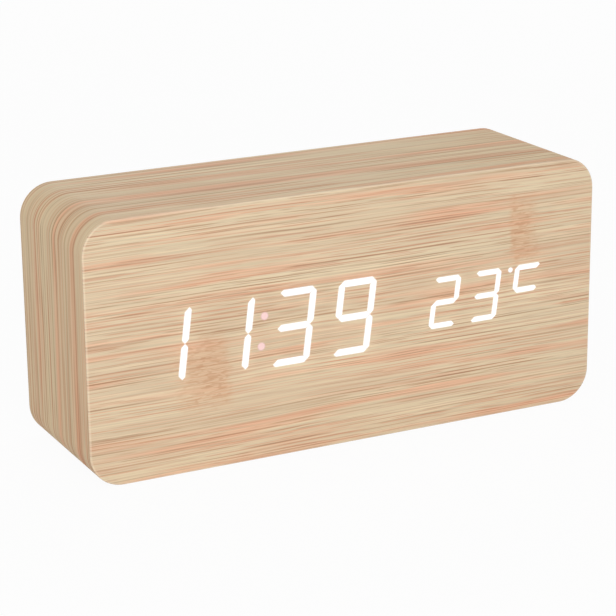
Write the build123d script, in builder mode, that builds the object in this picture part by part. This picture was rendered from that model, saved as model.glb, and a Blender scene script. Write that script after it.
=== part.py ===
"""Wooden alarm clock: a veneered block with a digit display that shines through its front film.

Millimetres, +Z up. The origin is the middle of the footprint, on the table. The front faces -Y.
"""
from build123d import *
from math import cos, pi, radians, sin, sqrt, tan
import os

# Fits shared by all pieces
overrun = 1.0
close_fit = 0.05
running_fit = 0.15
panel_gap = 0.3

# Case: wood board under a thin wood film
case_width = 150.0
case_height = 70.0
case_depth = 45.0
case_corner_radius = 9.0
film_thickness = 0.5
film_edge_ease = 0.35
front_board_thickness = 4.0
case_wall = 6.0
cavity_corner_radius = 3.0
post_size = 9.0
post_length = 14.0
post_edge_radius = 3.0

# Digits, measured on the front face
time_digit_height = 20.6
time_digit_width = 11.3
time_bar = 1.9
time_digit_count = 4
time_center_share = -0.213
time_pitch_share = 0.1447
colon_diameter = 2.2
colon_spacing = 8.1
temp_digit_height = 14.3
temp_digit_width = 8.5
temp_bar = 1.6
temp_digit_count = 3
temp_center_share = 0.333
temp_pitch_share = 0.1037
degree_diameter = 1.9
degree_gap = 0.5
degree_drop = 1.1
bar_gap = 0.35
bar_tip_share = 0.4
digit_slant = 7.5

# Light box behind the front board
diffuser_thickness = 0.3
mask_side_gap = 1.0
window_top_margin = 3.2
window_corner_radius = 2.0
window_gap = 0.2
flange_side = 6.0
flange_top = 5.0
flange_thickness = 2.0
flange_corner_radius = 2.0
spacer_height = 2.3
spacer_diameter = 5.0
spacer_inset = 4.0
fill_depth = 2.0

# Display board and what is soldered on it
board_thickness = 1.6
led_length = 1.6
led_width = 0.8
led_height = 0.8
time_led_spread_share = 0.25
chip_length = 18.0
chip_width = 7.5
chip_height = 2.2
chip_standoff = 0.1
chip_leads_per_side = 10
chip_lead_pitch = 1.27
chip_lead_width = 0.45
chip_lead_thickness = 0.25
chip_lead_reach = 1.4
chip_place_shares = (-0.28, -0.12)
crystal_length = 6.0
crystal_diameter = 2.0
crystal_edge = 0.3
crystal_flange_diameter = 2.4
crystal_flange_height = 0.4
crystal_place_shares = (-0.08, -0.12)
capacitor_diameter = 5.0
capacitor_height = 5.8
capacitor_base = 5.3
capacitor_base_height = 0.9
capacitor_vent_width = 0.4
capacitor_vent_depth = 0.2
capacitor_place_shares = ((-0.06, 0.26), (0.04, 0.26))
resistor_length = 2.0
resistor_width = 1.25
resistor_height = 0.5
resistor_count = 8
resistor_pitch = 3.2
resistor_place_shares = (-0.28, 0.26)

# Screws: thread size is the shank size, and the hole in wood is drawn at that size
display_screw_shank = 2.4
display_screw_head = 4.4
display_screw_head_height = 1.5
display_screw_bite = 2.6
cover_screw_shank = 2.6
cover_screw_head = 5.0
cover_screw_length = 11.0
cover_screw_tip_room = 1.0
countersink_angle = 90.0
key_screw_shank = 2.0
key_screw_head = 3.8
key_screw_head_height = 1.3
key_screw_bite = 5.0
cross_slot_width = 0.7
cross_slot_depth = 0.7
cross_slot_share = 0.62

# Rear cover
cover_thickness = 2.5
cover_recess = 1.0
ledge_width = 2.5
well_wall = 1.5
well_room_share = 0.3626
sleeve_gap = 0.3
sleeve_wall = 1.0
standoff_diameter = 5.0
standoff_length = 8.0
sound_hole_diameter = 1.2
sound_hole_ring = 3.0
sound_hole_count = 6
mic_hole_diameter = 1.6

# Battery door: swings on two small pins at its end away from the buttons
door_thickness = 1.8
door_lap = 1.5
door_side_gap = 0.25
door_pin_diameter = 1.0
door_pin_length = 1.2
door_tab_width = 10.0
door_tab_length = 7.0
door_tab_slit = 1.0
grip_groove_count = 4
grip_groove_width = 0.6
grip_groove_pitch = 1.2
grip_groove_depth = 0.35
finger_notch_radius = 6.0
finger_notch_depth = 1.2

# Cells and their contacts
cell_diameter = 10.5
cell_length = 44.5
cell_edge = 0.6
cell_button_diameter = 3.8
cell_button_height = 0.8
cell_count = 3
cell_spacing = 0.3
cell_top_gap = 0.4
cell_floor_gap = 0.3
cell_side_gap = 0.4
plate_thickness = 0.4
plate_width = 8.6
plate_height = 9.0
tab_width = 2.0
tab_reach = 1.2
tab_slot_gap = 0.2
spring_wire = 0.6
spring_wire_sides = 6
spring_turns = 3
spring_pitch = 1.2
spring_base_radius = 3.2
spring_top_radius = 1.9

# Key board behind the rear cover
key_board_width = 48.0
key_board_height = 36.0
key_board_room_share = 0.26
key_board_corner_radius = 1.5
standoff_inset = 3.5

# Buttons and their switches
button_names = ("down", "up", "set")
button_pitch = 13.5
button_rise = 9.0
button_diameter = 8.0
button_proud = 0.8
button_edge = 0.6
button_flange_diameter = 10.0
button_flange_thickness = 1.0
button_stem_diameter = 4.0
button_travel = 0.25
switch_size = 6.0
switch_height = 3.4
switch_lid_thickness = 0.2
switch_well_diameter = 4.4
plunger_diameter = 3.2
plunger_collar_diameter = 3.9
plunger_collar_height = 0.5
plunger_proud = 1.6
dome_diameter = 4.2
dome_height = 0.2
dome_top_share = 0.6

# Power inlet, sounder, microphone and temperature bead on the key board
usb_offset = (14.0, -10.0)
usb_width = 7.5
usb_height = 2.9
usb_corner_radius = 0.7
usb_wall = 0.3
usb_mouth_recess = 0.5
usb_tongue_width = 4.0
usb_tongue_thickness = 0.6
usb_tongue_recess = 1.0
usb_base_depth = 3.0
usb_cutout_gap = 0.5
buzzer_offset = (-12.0, -8.0)
buzzer_diameter = 12.0
buzzer_height = 6.5
buzzer_mouth_diameter = 2.4
buzzer_mouth_depth = 3.0
buzzer_edge = 0.6
mic_offset = (1.5, -7.0)
mic_diameter = 6.0
mic_height = 2.7
mic_mouth_diameter = 2.0
mic_mouth_depth = 0.8
bead_offset = (1.5, -14.5)
bead_diameter = 2.2
bead_edge = 0.5
bead_rise = 3.0
bead_lead_diameter = 0.4
bead_lead_pitch = 1.2

# Ribbon between the boards, and the two battery leads
socket_width = 12.0
socket_depth = 4.5
socket_height = 3.5
socket_slot_depth = 1.5
ribbon_width = 10.0
ribbon_thickness = 0.6
ribbon_run_share = 0.32
display_socket_share = 0.23
lead_diameter = 1.2
lead_sides = 8
lead_pad_inset = 2.5
lead_pad_rise = 3.0
lead_stub = 2.5
bend_share = 0.45
lead_lane_rise = 2.2
lead_arch = 1.4

# Depths from front to rear
front_y = -case_depth / 2
rear_y = case_depth / 2
board_front_y = front_y + film_thickness
board_rear_y = board_front_y + front_board_thickness
mask_front_y = board_front_y + diffuser_thickness
flange_rear_y = board_rear_y + flange_thickness
display_front_y = flange_rear_y + spacer_height
display_rear_y = display_front_y + board_thickness
rim_y = rear_y - film_thickness
cover_outer_y = rear_y - cover_recess
cover_inner_y = cover_outer_y - cover_thickness
key_rear_y = cover_inner_y - standoff_length
key_front_y = key_rear_y - board_thickness
door_inner_y = cover_outer_y - door_thickness
cell_y = door_inner_y - cell_top_gap - cell_diameter / 2
well_floor_y = cell_y - cell_diameter / 2 - cell_floor_gap
well_back_y = well_floor_y - well_wall
tab_y = cell_y

# Widths, heights and places that follow from the sizes above
middle_z = case_height / 2
core_width = case_width - 2 * film_thickness
core_height = case_height - 2 * film_thickness
core_radius = case_corner_radius - film_thickness
cavity_width = core_width - 2 * case_wall
cavity_height = core_height - 2 * case_wall
opening_width = cavity_width + 2 * ledge_width
opening_height = cavity_height + 2 * ledge_width
opening_radius = cavity_corner_radius + ledge_width
rim_width = (case_height - opening_height) / 2
base_width = case_width - 2 * case_corner_radius
slant = tan(radians(digit_slant))
window_width = cavity_width - 2 * (mask_side_gap + flange_side)
time_center_x = time_center_share * window_width
time_digit_pitch = time_pitch_share * window_width
temp_center_x = temp_center_share * window_width
temp_digit_pitch = temp_pitch_share * window_width
time_first_x = time_center_x - (time_digit_count - 1) / 2 * time_digit_pitch
temp_first_x = temp_center_x - (temp_digit_count - 1) / 2 * temp_digit_pitch
time_xs = [time_first_x + i * time_digit_pitch for i in range(time_digit_count)]
temp_xs = [temp_first_x + i * temp_digit_pitch for i in range(temp_digit_count)]
window_height = time_digit_height + 2 * window_top_margin
mask_width = window_width + 2 * flange_side
mask_height = window_height + 2 * flange_top
mask_depth = display_front_y - mask_front_y
spacer_x = window_width / 2 + flange_side / 2
spacer_z = mask_height / 2 - spacer_inset
post_x = cavity_width / 2 - post_size / 2
post_z = cavity_height / 2 - post_size / 2
cell_pitch = cell_diameter + cell_spacing
spring_length = spring_turns * spring_pitch + spring_wire
well_length = cell_length + spring_length + 2 * plate_thickness + 2 * close_fit
well_height = (cell_count - 1) * cell_pitch + cell_diameter + 2 * cell_side_gap
rear_room = cavity_width - well_length - 2 * well_wall - key_board_width
well_side_gap = well_room_share * rear_room
key_board_side_gap = key_board_room_share * rear_room
well_center_x = -cavity_width / 2 + well_side_gap + well_wall + well_length / 2
key_board_center_x = cavity_width / 2 - key_board_side_gap - key_board_width / 2
well_top_z = middle_z + well_height / 2 + well_wall
well_left_x = well_center_x - well_length / 2
well_right_x = well_center_x + well_length / 2
right_tab_x = well_right_x + well_wall + tab_reach
top_tab_z = well_top_z + tab_reach
door_recess_length = well_length + 2 * door_lap
door_recess_height = well_height + 2 * door_lap
door_height = door_recess_height - 2 * door_side_gap
pivot_x = well_left_x - door_lap + door_side_gap + door_thickness / 2
pivot_y = cover_outer_y - door_thickness / 2
door_end_x = well_right_x + door_lap - door_side_gap
cell_zs = [middle_z + (i - (cell_count - 1) / 2) * cell_pitch for i in range(cell_count)]
standoff_x = key_board_width / 2 - standoff_inset
standoff_z = key_board_height / 2 - standoff_inset
button_z = middle_z + button_rise
button_xs = [key_board_center_x + (i - 1) * button_pitch for i in range(len(button_names))]
button_points = [(x, button_z) for x in button_xs]
button_flange_y = cover_inner_y - running_fit
switch_top_y = key_rear_y + switch_height
switch_well_depth = running_fit + plunger_collar_height + button_travel + close_fit + dome_height
collar_top_y = switch_top_y - running_fit
plunger_top_y = switch_top_y + switch_lid_thickness + plunger_proud
button_top_y = cover_outer_y + button_proud
sleeve_radius = button_flange_diameter / 2 + sleeve_gap
usb_mouth_y = cover_outer_y - usb_mouth_recess
corner_signs = [(sx, sz) for sx in (-1, 1) for sz in (-1, 1)]
cover_screw_points = [(sx * post_x, middle_z + sz * post_z) for sx, sz in corner_signs]
spacer_points = [(sx * spacer_x, middle_z + sz * spacer_z) for sx, sz in corner_signs]
standoff_points = [
    (key_board_center_x + sx * standoff_x, middle_z + sz * standoff_z)
    for sx, sz in corner_signs
]


def upright(y):
    """Sketch plane across the clock at depth y: x is +X, y is +Z, and the normal points to the front."""
    return Plane(origin=(0, y, 0), x_dir=(1, 0, 0), z_dir=(0, -1, 0))


def key_point(offset):
    """Place on the key board, given from the middle of that board."""
    return (key_board_center_x + offset[0], middle_z + offset[1])


def display_point(shares):
    """Place on the display board, as shares of its width and height from its middle."""
    return (shares[0] * mask_width, middle_z + shares[1] * mask_height)


def finish(builder, name):
    """Name a finished piece and write it."""
    builder.part.label = name
    export_step(builder.part, f"parts/{name}.step")


def bar_outlines(width, height, bar, gap):
    """Outlines of the seven bars of an upright digit centred on the origin, in the usual order a to g."""
    side = width / 2
    top = height / 2
    tip = bar * bar_tip_share
    miter = gap / sqrt(2)
    top_end = [
        (-side + bar + miter, top - bar),
        (-side + tip + miter, top - tip),
        (-side + 2 * tip + miter, top),
    ]
    middle_end = [
        (-side + bar + miter, -bar / 2),
        (-side + bar / 2 + miter, 0),
        (-side + bar + miter, bar / 2),
    ]
    upper_left = [
        (-side + tip, top - tip - miter),
        (-side + bar, top - bar - miter),
        (-side + bar, bar / 2 + miter),
        (-side + bar / 2, miter),
        (-side, bar / 2 + miter),
        (-side, top - 2 * tip - miter),
    ]
    top_bar = top_end + [(-x, z) for x, z in reversed(top_end)]
    middle_bar = middle_end + [(-x, z) for x, z in reversed(middle_end)]
    upper_right = [(-x, z) for x, z in upper_left]
    lower_right = [(-x, -z) for x, z in upper_left]
    bottom_bar = [(x, -z) for x, z in top_bar]
    lower_left = [(x, -z) for x, z in upper_left]
    return [top_bar, upper_right, lower_right, bottom_bar, lower_left, upper_left, middle_bar]


def on_display(center_x, x, z):
    """Lean a point of an upright digit and set it at its place on the front."""
    return (center_x + x + slant * z, middle_z + z)


def draw_cells(clearance=0):
    """Add every cell of the display to the open sketch, drawn in by a clearance on all sides."""
    digits = [(x, time_digit_width, time_digit_height, time_bar) for x in time_xs]
    digits += [(x, temp_digit_width, temp_digit_height, temp_bar) for x in temp_xs]
    for center_x, width, height, bar in digits:
        inset = 2 * clearance
        for outline in bar_outlines(width - inset, height - inset, bar - inset, bar_gap + inset):
            Polygon(*[on_display(center_x, x, z) for x, z in outline], align=None)
    with Locations(*colon_points):
        Circle(colon_diameter / 2 - clearance)
    with Locations(degree_point):
        Circle(degree_diameter / 2 - clearance)


colon_x = (time_xs[1] + time_xs[2]) / 2
colon_points = [on_display(colon_x, 0, sign * colon_spacing / 2) for sign in (1, -1)]
degree_left = temp_digit_width / 2 + degree_gap + degree_diameter / 2
degree_point = on_display(temp_xs[-1], -degree_left, temp_digit_height / 2 - degree_drop)


def led_places():
    """Place and turn of every lamp: two under each long bar of the time, one under every other cell."""
    places = []
    digits = [(x, time_digit_width, time_digit_height, time_bar, True) for x in time_xs]
    digits += [(x, temp_digit_width, temp_digit_height, temp_bar, False) for x in temp_xs]
    for center_x, width, height, bar, paired in digits:
        spreads = (-time_led_spread_share, time_led_spread_share) if paired else (0,)
        for spread in spreads:
            for z in (height / 2 - bar / 2, 0, -height / 2 + bar / 2):
                places.append((on_display(center_x, spread * (width - 2 * bar), z), 0))
            for sx, sz in corner_signs:
                x = sx * (width - bar) / 2
                z = sz * height / 4 + spread * (height / 2 - bar)
                places.append((on_display(center_x, x, z), 90))
    places += [(point, 0) for point in colon_points + [degree_point]]
    return places


os.makedirs("parts", exist_ok=True)

# Front film: covers the whole front, edge to edge, with its outer edge eased
with BuildPart() as front_veneer:
    with BuildSketch(upright(front_y)):
        with Locations((0, middle_z)):
            RectangleRounded(case_width, case_height, case_corner_radius)
    extrude(amount=-film_thickness)
    fillet(front_veneer.faces().sort_by(Axis.Y)[0].edges(), film_edge_ease)
finish(front_veneer, "front_veneer")

# Wrap film: sides, top and bottom corners in one sheet, turned in over the rear rim
with BuildPart() as wrap_veneer:
    with BuildSketch(upright(board_front_y)):
        with Locations((0, middle_z)):
            RectangleRounded(case_width, case_height, case_corner_radius)
            RectangleRounded(core_width, core_height, core_radius, mode=Mode.SUBTRACT)
        Rectangle(base_width, 2 * film_thickness, mode=Mode.SUBTRACT)
    extrude(amount=board_front_y - rim_y)
    with BuildSketch(upright(rim_y)):
        with Locations((0, middle_z)):
            RectangleRounded(case_width, case_height, case_corner_radius)
            RectangleRounded(opening_width, opening_height, opening_radius, mode=Mode.SUBTRACT)
        Rectangle(base_width, 2 * rim_width, mode=Mode.SUBTRACT)
    extrude(amount=-film_thickness)
finish(wrap_veneer, "wrap_veneer")

# Base film: the flat strip between the bottom corners, which the clock stands on
with BuildPart() as base_veneer:
    with BuildSketch(upright(board_front_y)):
        Rectangle(base_width, film_thickness, align=(Align.CENTER, Align.MIN))
    extrude(amount=board_front_y - rim_y)
    with BuildSketch(upright(rim_y)):
        Rectangle(base_width, rim_width, align=(Align.CENTER, Align.MIN))
    extrude(amount=-film_thickness)
finish(base_veneer, "base_veneer")

# Front board with the display window and blind holes for the display screws
with BuildPart() as front_board:
    with BuildSketch(upright(board_front_y)):
        with Locations((0, middle_z)):
            RectangleRounded(core_width, core_height, core_radius)
            RectangleRounded(window_width, window_height, window_corner_radius, mode=Mode.SUBTRACT)
    extrude(amount=-front_board_thickness)
    with BuildSketch(upright(board_rear_y)):
        with Locations(*spacer_points):
            Circle(display_screw_shank / 2 + close_fit)
    extrude(amount=display_screw_bite + panel_gap, mode=Mode.SUBTRACT)
finish(front_board, "front_board")

# Case ring: the block's wall, its four screw posts and the rebate that the rear cover lies in
with BuildPart() as case_ring:
    with BuildSketch(upright(board_rear_y)):
        with Locations((0, middle_z)):
            RectangleRounded(core_width, core_height, core_radius)
            RectangleRounded(cavity_width, cavity_height, cavity_corner_radius, mode=Mode.SUBTRACT)
    extrude(amount=board_rear_y - rim_y)
    with BuildSketch(upright(cover_inner_y)):
        reach = post_size + post_edge_radius
        shift = post_edge_radius / 2
        post_points = [
            (sx * (post_x + shift), middle_z + sz * (post_z + shift))
            for sx, sz in corner_signs
        ]
        with Locations(*post_points):
            RectangleRounded(reach, reach, post_edge_radius)
    extrude(amount=post_length)
    with BuildSketch(upright(cover_inner_y)):
        with Locations((0, middle_z)):
            RectangleRounded(opening_width, opening_height, opening_radius)
    extrude(amount=cover_inner_y - rim_y - overrun, mode=Mode.SUBTRACT)
    with BuildSketch(upright(cover_outer_y - cover_screw_length - cover_screw_tip_room)):
        with Locations(*cover_screw_points):
            Circle(cover_screw_shank / 2 + close_fit)
    extrude(amount=-cover_screw_length, mode=Mode.SUBTRACT)
finish(case_ring, "case_ring")

# Diffuser film: flush in the window, under the front film
with BuildPart() as diffuser_film:
    with BuildSketch(upright(board_front_y)):
        with Locations((0, middle_z)):
            RectangleRounded(window_width - 2 * window_gap, window_height - 2 * window_gap,
                             window_corner_radius - window_gap)
    extrude(amount=-diffuser_thickness)
finish(diffuser_film, "diffuser_film")

# Light box: a plateau in the window, a flange behind the board, spacers, and one leaning cell per bar
with BuildPart() as segment_mask:
    with BuildSketch(upright(mask_front_y)):
        with Locations((0, middle_z)):
            RectangleRounded(window_width - 2 * window_gap, window_height - 2 * window_gap,
                             window_corner_radius - window_gap)
    extrude(amount=-mask_depth)
    with BuildSketch(upright(board_rear_y)):
        with Locations((0, middle_z)):
            RectangleRounded(mask_width, mask_height, flange_corner_radius)
    extrude(amount=-flange_thickness)
    with BuildSketch(upright(flange_rear_y)):
        with Locations(*spacer_points):
            Circle(spacer_diameter / 2)
    extrude(amount=-spacer_height)
    with BuildSketch(upright(board_rear_y - overrun)):
        with Locations(*spacer_points):
            Circle(display_screw_shank / 2 + running_fit)
    extrude(amount=-(flange_thickness + spacer_height + 2 * overrun), mode=Mode.SUBTRACT)
    with BuildSketch(upright(mask_front_y - overrun)):
        draw_cells()
    extrude(amount=-(mask_depth + 2 * overrun), mode=Mode.SUBTRACT)
finish(segment_mask, "segment_mask")

# Resin fills: a translucent plug in the mouth of every cell
with BuildPart() as segment_fills:
    with BuildSketch(upright(mask_front_y)):
        draw_cells(close_fit)
    extrude(amount=-fill_depth)
finish(segment_fills, "segment_fills")

# Display board, held against the spacers by the display screws
with BuildPart() as display_board:
    with BuildSketch(upright(display_front_y)):
        with Locations((0, middle_z)):
            RectangleRounded(mask_width, mask_height, flange_corner_radius)
        with Locations(*spacer_points):
            Circle(display_screw_shank / 2 + running_fit, mode=Mode.SUBTRACT)
    extrude(amount=-board_thickness)
finish(display_board, "display_board")

# Lamps: small chips at the foot of every cell
with BuildPart() as led_chips:
    with BuildSketch(upright(display_front_y)):
        for point, turn in led_places():
            with Locations(point):
                Rectangle(led_length, led_width, rotation=turn)
    extrude(amount=led_height)
finish(led_chips, "led_chips")

# Controller chip: a moulded body on two rows of bent leads
with BuildPart() as controller_chip:
    chip_x, chip_z = display_point(chip_place_shares)
    with BuildSketch(upright(display_rear_y + chip_standoff)):
        with Locations((chip_x, chip_z)):
            Rectangle(chip_length, chip_width)
    extrude(amount=-chip_height)
    chip_end = Plane(origin=(chip_x, display_rear_y, chip_z), x_dir=(0, 0, 1), z_dir=(1, 0, 0))
    with BuildSketch(chip_end) as leads:
        with BuildLine():
            knee = chip_lead_reach / 2
            rise = -chip_height / 2
            Polyline(
                (chip_width / 2 - knee, rise),
                (chip_width / 2 + knee, rise),
                (chip_width / 2 + knee, 0),
                (chip_width / 2 + chip_lead_reach, 0),
                (chip_width / 2 + chip_lead_reach, -chip_lead_thickness),
                (chip_width / 2 + knee + chip_lead_thickness, -chip_lead_thickness),
                (chip_width / 2 + knee + chip_lead_thickness, rise - chip_lead_thickness),
                (chip_width / 2 - knee, rise - chip_lead_thickness),
                close=True,
            )
        make_face()
        mirror(about=Plane.YZ)
    lead_profile = leads.sketch
    for i in range(chip_leads_per_side):
        shift = (i - (chip_leads_per_side - 1) / 2) * chip_lead_pitch - chip_lead_width / 2
        extrude(lead_profile.moved(Location((shift, 0, 0))), amount=chip_lead_width, dir=(1, 0, 0))
finish(controller_chip, "controller_chip")

# Clock crystal: a small can standing on the display board
with BuildPart() as clock_crystal:
    with BuildSketch(upright(display_rear_y)):
        with Locations(display_point(crystal_place_shares)):
            Circle(crystal_flange_diameter / 2)
    extrude(amount=-crystal_flange_height)
    with BuildSketch(upright(display_rear_y + crystal_flange_height)):
        with Locations(display_point(crystal_place_shares)):
            Circle(crystal_diameter / 2)
    extrude(amount=-(crystal_length - crystal_flange_height))
    chamfer(clock_crystal.faces().sort_by(Axis.Y)[-1].edges(), crystal_edge)
finish(clock_crystal, "clock_crystal")

# Smoothing capacitors: scored cans on square bases
with BuildPart() as display_capacitors:
    places = [display_point(shares) for shares in capacitor_place_shares]
    with BuildSketch(upright(display_rear_y)):
        with Locations(*places):
            Rectangle(capacitor_base, capacitor_base)
    extrude(amount=-capacitor_base_height)
    with BuildSketch(upright(display_rear_y + capacitor_base_height)):
        with Locations(*places):
            Circle(capacitor_diameter / 2)
    extrude(amount=-(capacitor_height - capacitor_base_height))
    with BuildSketch(upright(display_rear_y + capacitor_height - capacitor_vent_depth)):
        with Locations(*places):
            Rectangle(capacitor_diameter / 2, capacitor_vent_width)
            Rectangle(capacitor_vent_width, capacitor_diameter / 2)
    extrude(amount=-(capacitor_vent_depth + overrun), mode=Mode.SUBTRACT)
finish(display_capacitors, "display_capacitors")

# Row of chip resistors
with BuildPart() as chip_resistors:
    with BuildSketch(upright(display_rear_y)):
        with Locations(display_point(resistor_place_shares)):
            with GridLocations(resistor_pitch, resistor_pitch, resistor_count, 1):
                Rectangle(resistor_width, resistor_length)
    extrude(amount=-resistor_height)
finish(chip_resistors, "chip_resistors")


def pan_head_screws(points, head_y, shank, head, head_height, length):
    """Screws driven from the rear towards the front, their heads seated at head_y."""
    with BuildPart() as screws:
        with BuildSketch(upright(head_y)):
            with Locations(*points):
                Circle(shank / 2)
        extrude(amount=length)
        with BuildSketch(upright(head_y)):
            with Locations(*points):
                Circle(head / 2)
        extrude(amount=-head_height)
        with BuildSketch(upright(head_y + head_height - cross_slot_depth)):
            with Locations(*points):
                Rectangle(head * cross_slot_share, cross_slot_width)
                Rectangle(cross_slot_width, head * cross_slot_share)
        extrude(amount=-(cross_slot_depth + overrun), mode=Mode.SUBTRACT)
    return screws


# Display screws: through the board and the spacers into the front board
display_screw_length = display_rear_y - board_rear_y + display_screw_bite
display_screws = pan_head_screws(spacer_points, display_rear_y, display_screw_shank, display_screw_head,
                                 display_screw_head_height, display_screw_length)
finish(display_screws, "display_screws")

# Rear cover: plate with the battery well, door recess, button holes, power opening and standoffs
with BuildPart() as rear_cover:
    with BuildSketch(upright(cover_inner_y)):
        with Locations((0, middle_z)):
            RectangleRounded(opening_width - 2 * panel_gap, opening_height - 2 * panel_gap,
                             opening_radius - panel_gap)
    extrude(amount=-cover_thickness)
    with BuildSketch(upright(well_back_y)):
        with Locations((well_center_x, middle_z)):
            Rectangle(well_length + 2 * well_wall, well_height + 2 * well_wall)
    extrude(amount=well_back_y - cover_inner_y)
    with BuildSketch(upright(cover_inner_y)):
        with Locations(*standoff_points):
            Circle(standoff_diameter / 2)
    extrude(amount=standoff_length)
    with BuildSketch(upright(cover_inner_y)):
        with Locations(*button_points):
            Circle(sleeve_radius + sleeve_wall)
            Circle(sleeve_radius, mode=Mode.SUBTRACT)
    extrude(amount=standoff_length - panel_gap)
    with BuildSketch(upright(well_floor_y)):
        with Locations((well_center_x, middle_z)):
            Rectangle(well_length, well_height)
    extrude(amount=well_floor_y - cover_outer_y - overrun, mode=Mode.SUBTRACT)
    with BuildSketch(upright(door_inner_y)):
        with Locations((well_center_x, middle_z)):
            Rectangle(door_recess_length, door_recess_height)
    extrude(amount=-(door_thickness + overrun), mode=Mode.SUBTRACT)
    with Locations((pivot_x, pivot_y, middle_z)):
        Cylinder(door_pin_diameter / 2 + close_fit, door_height + 2 * (door_pin_length + door_side_gap),
                 mode=Mode.SUBTRACT)
    with BuildSketch(upright(cover_outer_y - finger_notch_depth)):
        with Locations((well_right_x + door_lap, middle_z)):
            Circle(finger_notch_radius)
    extrude(amount=-(finger_notch_depth + overrun), mode=Mode.SUBTRACT)
    with BuildSketch(upright(cover_inner_y - overrun)):
        with Locations(*button_points):
            Circle(button_diameter / 2 + running_fit)
        with Locations(key_point(usb_offset)):
            RectangleRounded(usb_width + 2 * usb_cutout_gap, usb_height + 2 * usb_cutout_gap,
                             usb_corner_radius + usb_cutout_gap)
        with Locations(key_point(buzzer_offset)):
            Circle(sound_hole_diameter / 2)
            with PolarLocations(sound_hole_ring, sound_hole_count):
                Circle(sound_hole_diameter / 2)
        with Locations(key_point(mic_offset)):
            Circle(mic_hole_diameter / 2)
    extrude(amount=-(cover_thickness + 2 * overrun), mode=Mode.SUBTRACT)
    with BuildSketch(upright(key_rear_y)):
        with Locations(*standoff_points):
            Circle(key_screw_shank / 2 + close_fit)
    extrude(amount=-(key_screw_bite + panel_gap), mode=Mode.SUBTRACT)
    with Locations(*[Plane(origin=(x, cover_outer_y, z), z_dir=(0, 1, 0)) for x, z in cover_screw_points]):
        CounterSinkHole(cover_screw_shank / 2 + running_fit, cover_screw_head / 2 + running_fit,
                        cover_thickness + overrun, countersink_angle)
    with BuildSketch(upright(tab_y - plate_thickness / 2 - tab_slot_gap)):
        with Locations((well_right_x + well_wall / 2, cell_zs[0])):
            Rectangle(well_wall + 2 * overrun, tab_width + 2 * tab_slot_gap)
    extrude(amount=-(plate_thickness + 2 * tab_slot_gap), mode=Mode.SUBTRACT)
    with BuildSketch(Plane.XY.offset(well_top_z + overrun)):
        with Locations((well_left_x, tab_y)):
            Rectangle(
                plate_thickness + tab_slot_gap,
                tab_width + 2 * tab_slot_gap,
                align=(Align.MIN, Align.CENTER),
            )
    extrude(amount=-(well_wall + 2 * overrun), mode=Mode.SUBTRACT)
finish(rear_cover, "rear_cover")

# Rear cover screws: countersunk heads flush with the cover
with BuildPart() as rear_cover_screws:
    for x, z in cover_screw_points:
        with BuildSketch(Plane(origin=(x, cover_outer_y, z), x_dir=(1, 0, 0), z_dir=(0, 0, 1))):
            with BuildLine():
                Polyline(
                    (0, 0),
                    (cover_screw_head / 2, 0),
                    (cover_screw_shank / 2, (cover_screw_shank - cover_screw_head) / 2),
                    (cover_screw_shank / 2, -cover_screw_length),
                    (0, -cover_screw_length),
                    close=True,
                )
            make_face()
        revolve(axis=Axis((x, cover_outer_y, z), (0, 1, 0)))
    with BuildSketch(upright(cover_outer_y - cross_slot_depth)):
        with Locations(*cover_screw_points):
            Rectangle(cover_screw_head * cross_slot_share, cross_slot_width)
            Rectangle(cross_slot_width, cover_screw_head * cross_slot_share)
    extrude(amount=-(cross_slot_depth + overrun), mode=Mode.SUBTRACT)
finish(rear_cover_screws, "rear_cover_screws")

# Battery door: full-round hinge edge on two pins, and a springy tab with finger grooves at the other end
with BuildPart() as battery_door:
    with BuildSketch(Plane.XY.offset(middle_z - door_height / 2)):
        with Locations((pivot_x, pivot_y)):
            Circle(door_thickness / 2)
            Rectangle(door_end_x - pivot_x, door_thickness, align=(Align.MIN, Align.CENTER))
    extrude(amount=door_height)
    with Locations((pivot_x, pivot_y, middle_z)):
        Cylinder(door_pin_diameter / 2, door_height + 2 * door_pin_length)
    with BuildSketch(upright(door_inner_y - overrun)):
        for side in (-1, 1):
            with Locations((door_end_x, middle_z + side * (door_tab_width + door_tab_slit) / 2)):
                SlotOverall(2 * door_tab_length, door_tab_slit)
    extrude(amount=-(door_thickness + 2 * overrun), mode=Mode.SUBTRACT)
    with BuildSketch(upright(cover_outer_y - grip_groove_depth)):
        with Locations((door_end_x - door_tab_length / 2, middle_z)):
            with GridLocations(grip_groove_pitch, grip_groove_pitch, grip_groove_count, 1):
                Rectangle(grip_groove_width, door_tab_width - 2 * door_tab_slit)
    extrude(amount=-(grip_groove_depth + overrun), mode=Mode.SUBTRACT)
finish(battery_door, "battery_door")

# Cells: laid in turn with the positive end left, right and left, so that they join in series
with BuildPart() as cell:
    with BuildSketch(Plane.XY):
        with BuildLine():
            can_length = cell_length - cell_button_height
            Polyline(
                (0, 0),
                (0, cell_diameter / 2),
                (can_length, cell_diameter / 2),
                (can_length, cell_button_diameter / 2),
                (cell_length, cell_button_diameter / 2),
                (cell_length, 0),
                close=True,
            )
        make_face()
    revolve(axis=Axis.X)
    chamfer(cell.edges().filter_by(GeomType.CIRCLE).group_by(SortBy.RADIUS)[-1], cell_edge)
left_plate_x = well_left_x + plate_thickness
right_plate_x = well_right_x - plate_thickness
with BuildPart() as aaa_cells:
    for i, z in enumerate(cell_zs):
        positive_left = i % 2 == 0
        end_x = left_plate_x + cell_length if positive_left else right_plate_x - cell_length
        with Locations(Location((end_x, cell_y, z), (0, 0, 180 if positive_left else 0))):
            add(cell.part)
finish(aaa_cells, "aaa_cells")


def sideways(x):
    """Sketch plane facing +X at x: local x is +Y and local y is +Z."""
    return Plane(origin=(x, 0, 0), x_dir=(0, 1, 0), z_dir=(1, 0, 0))


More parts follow.
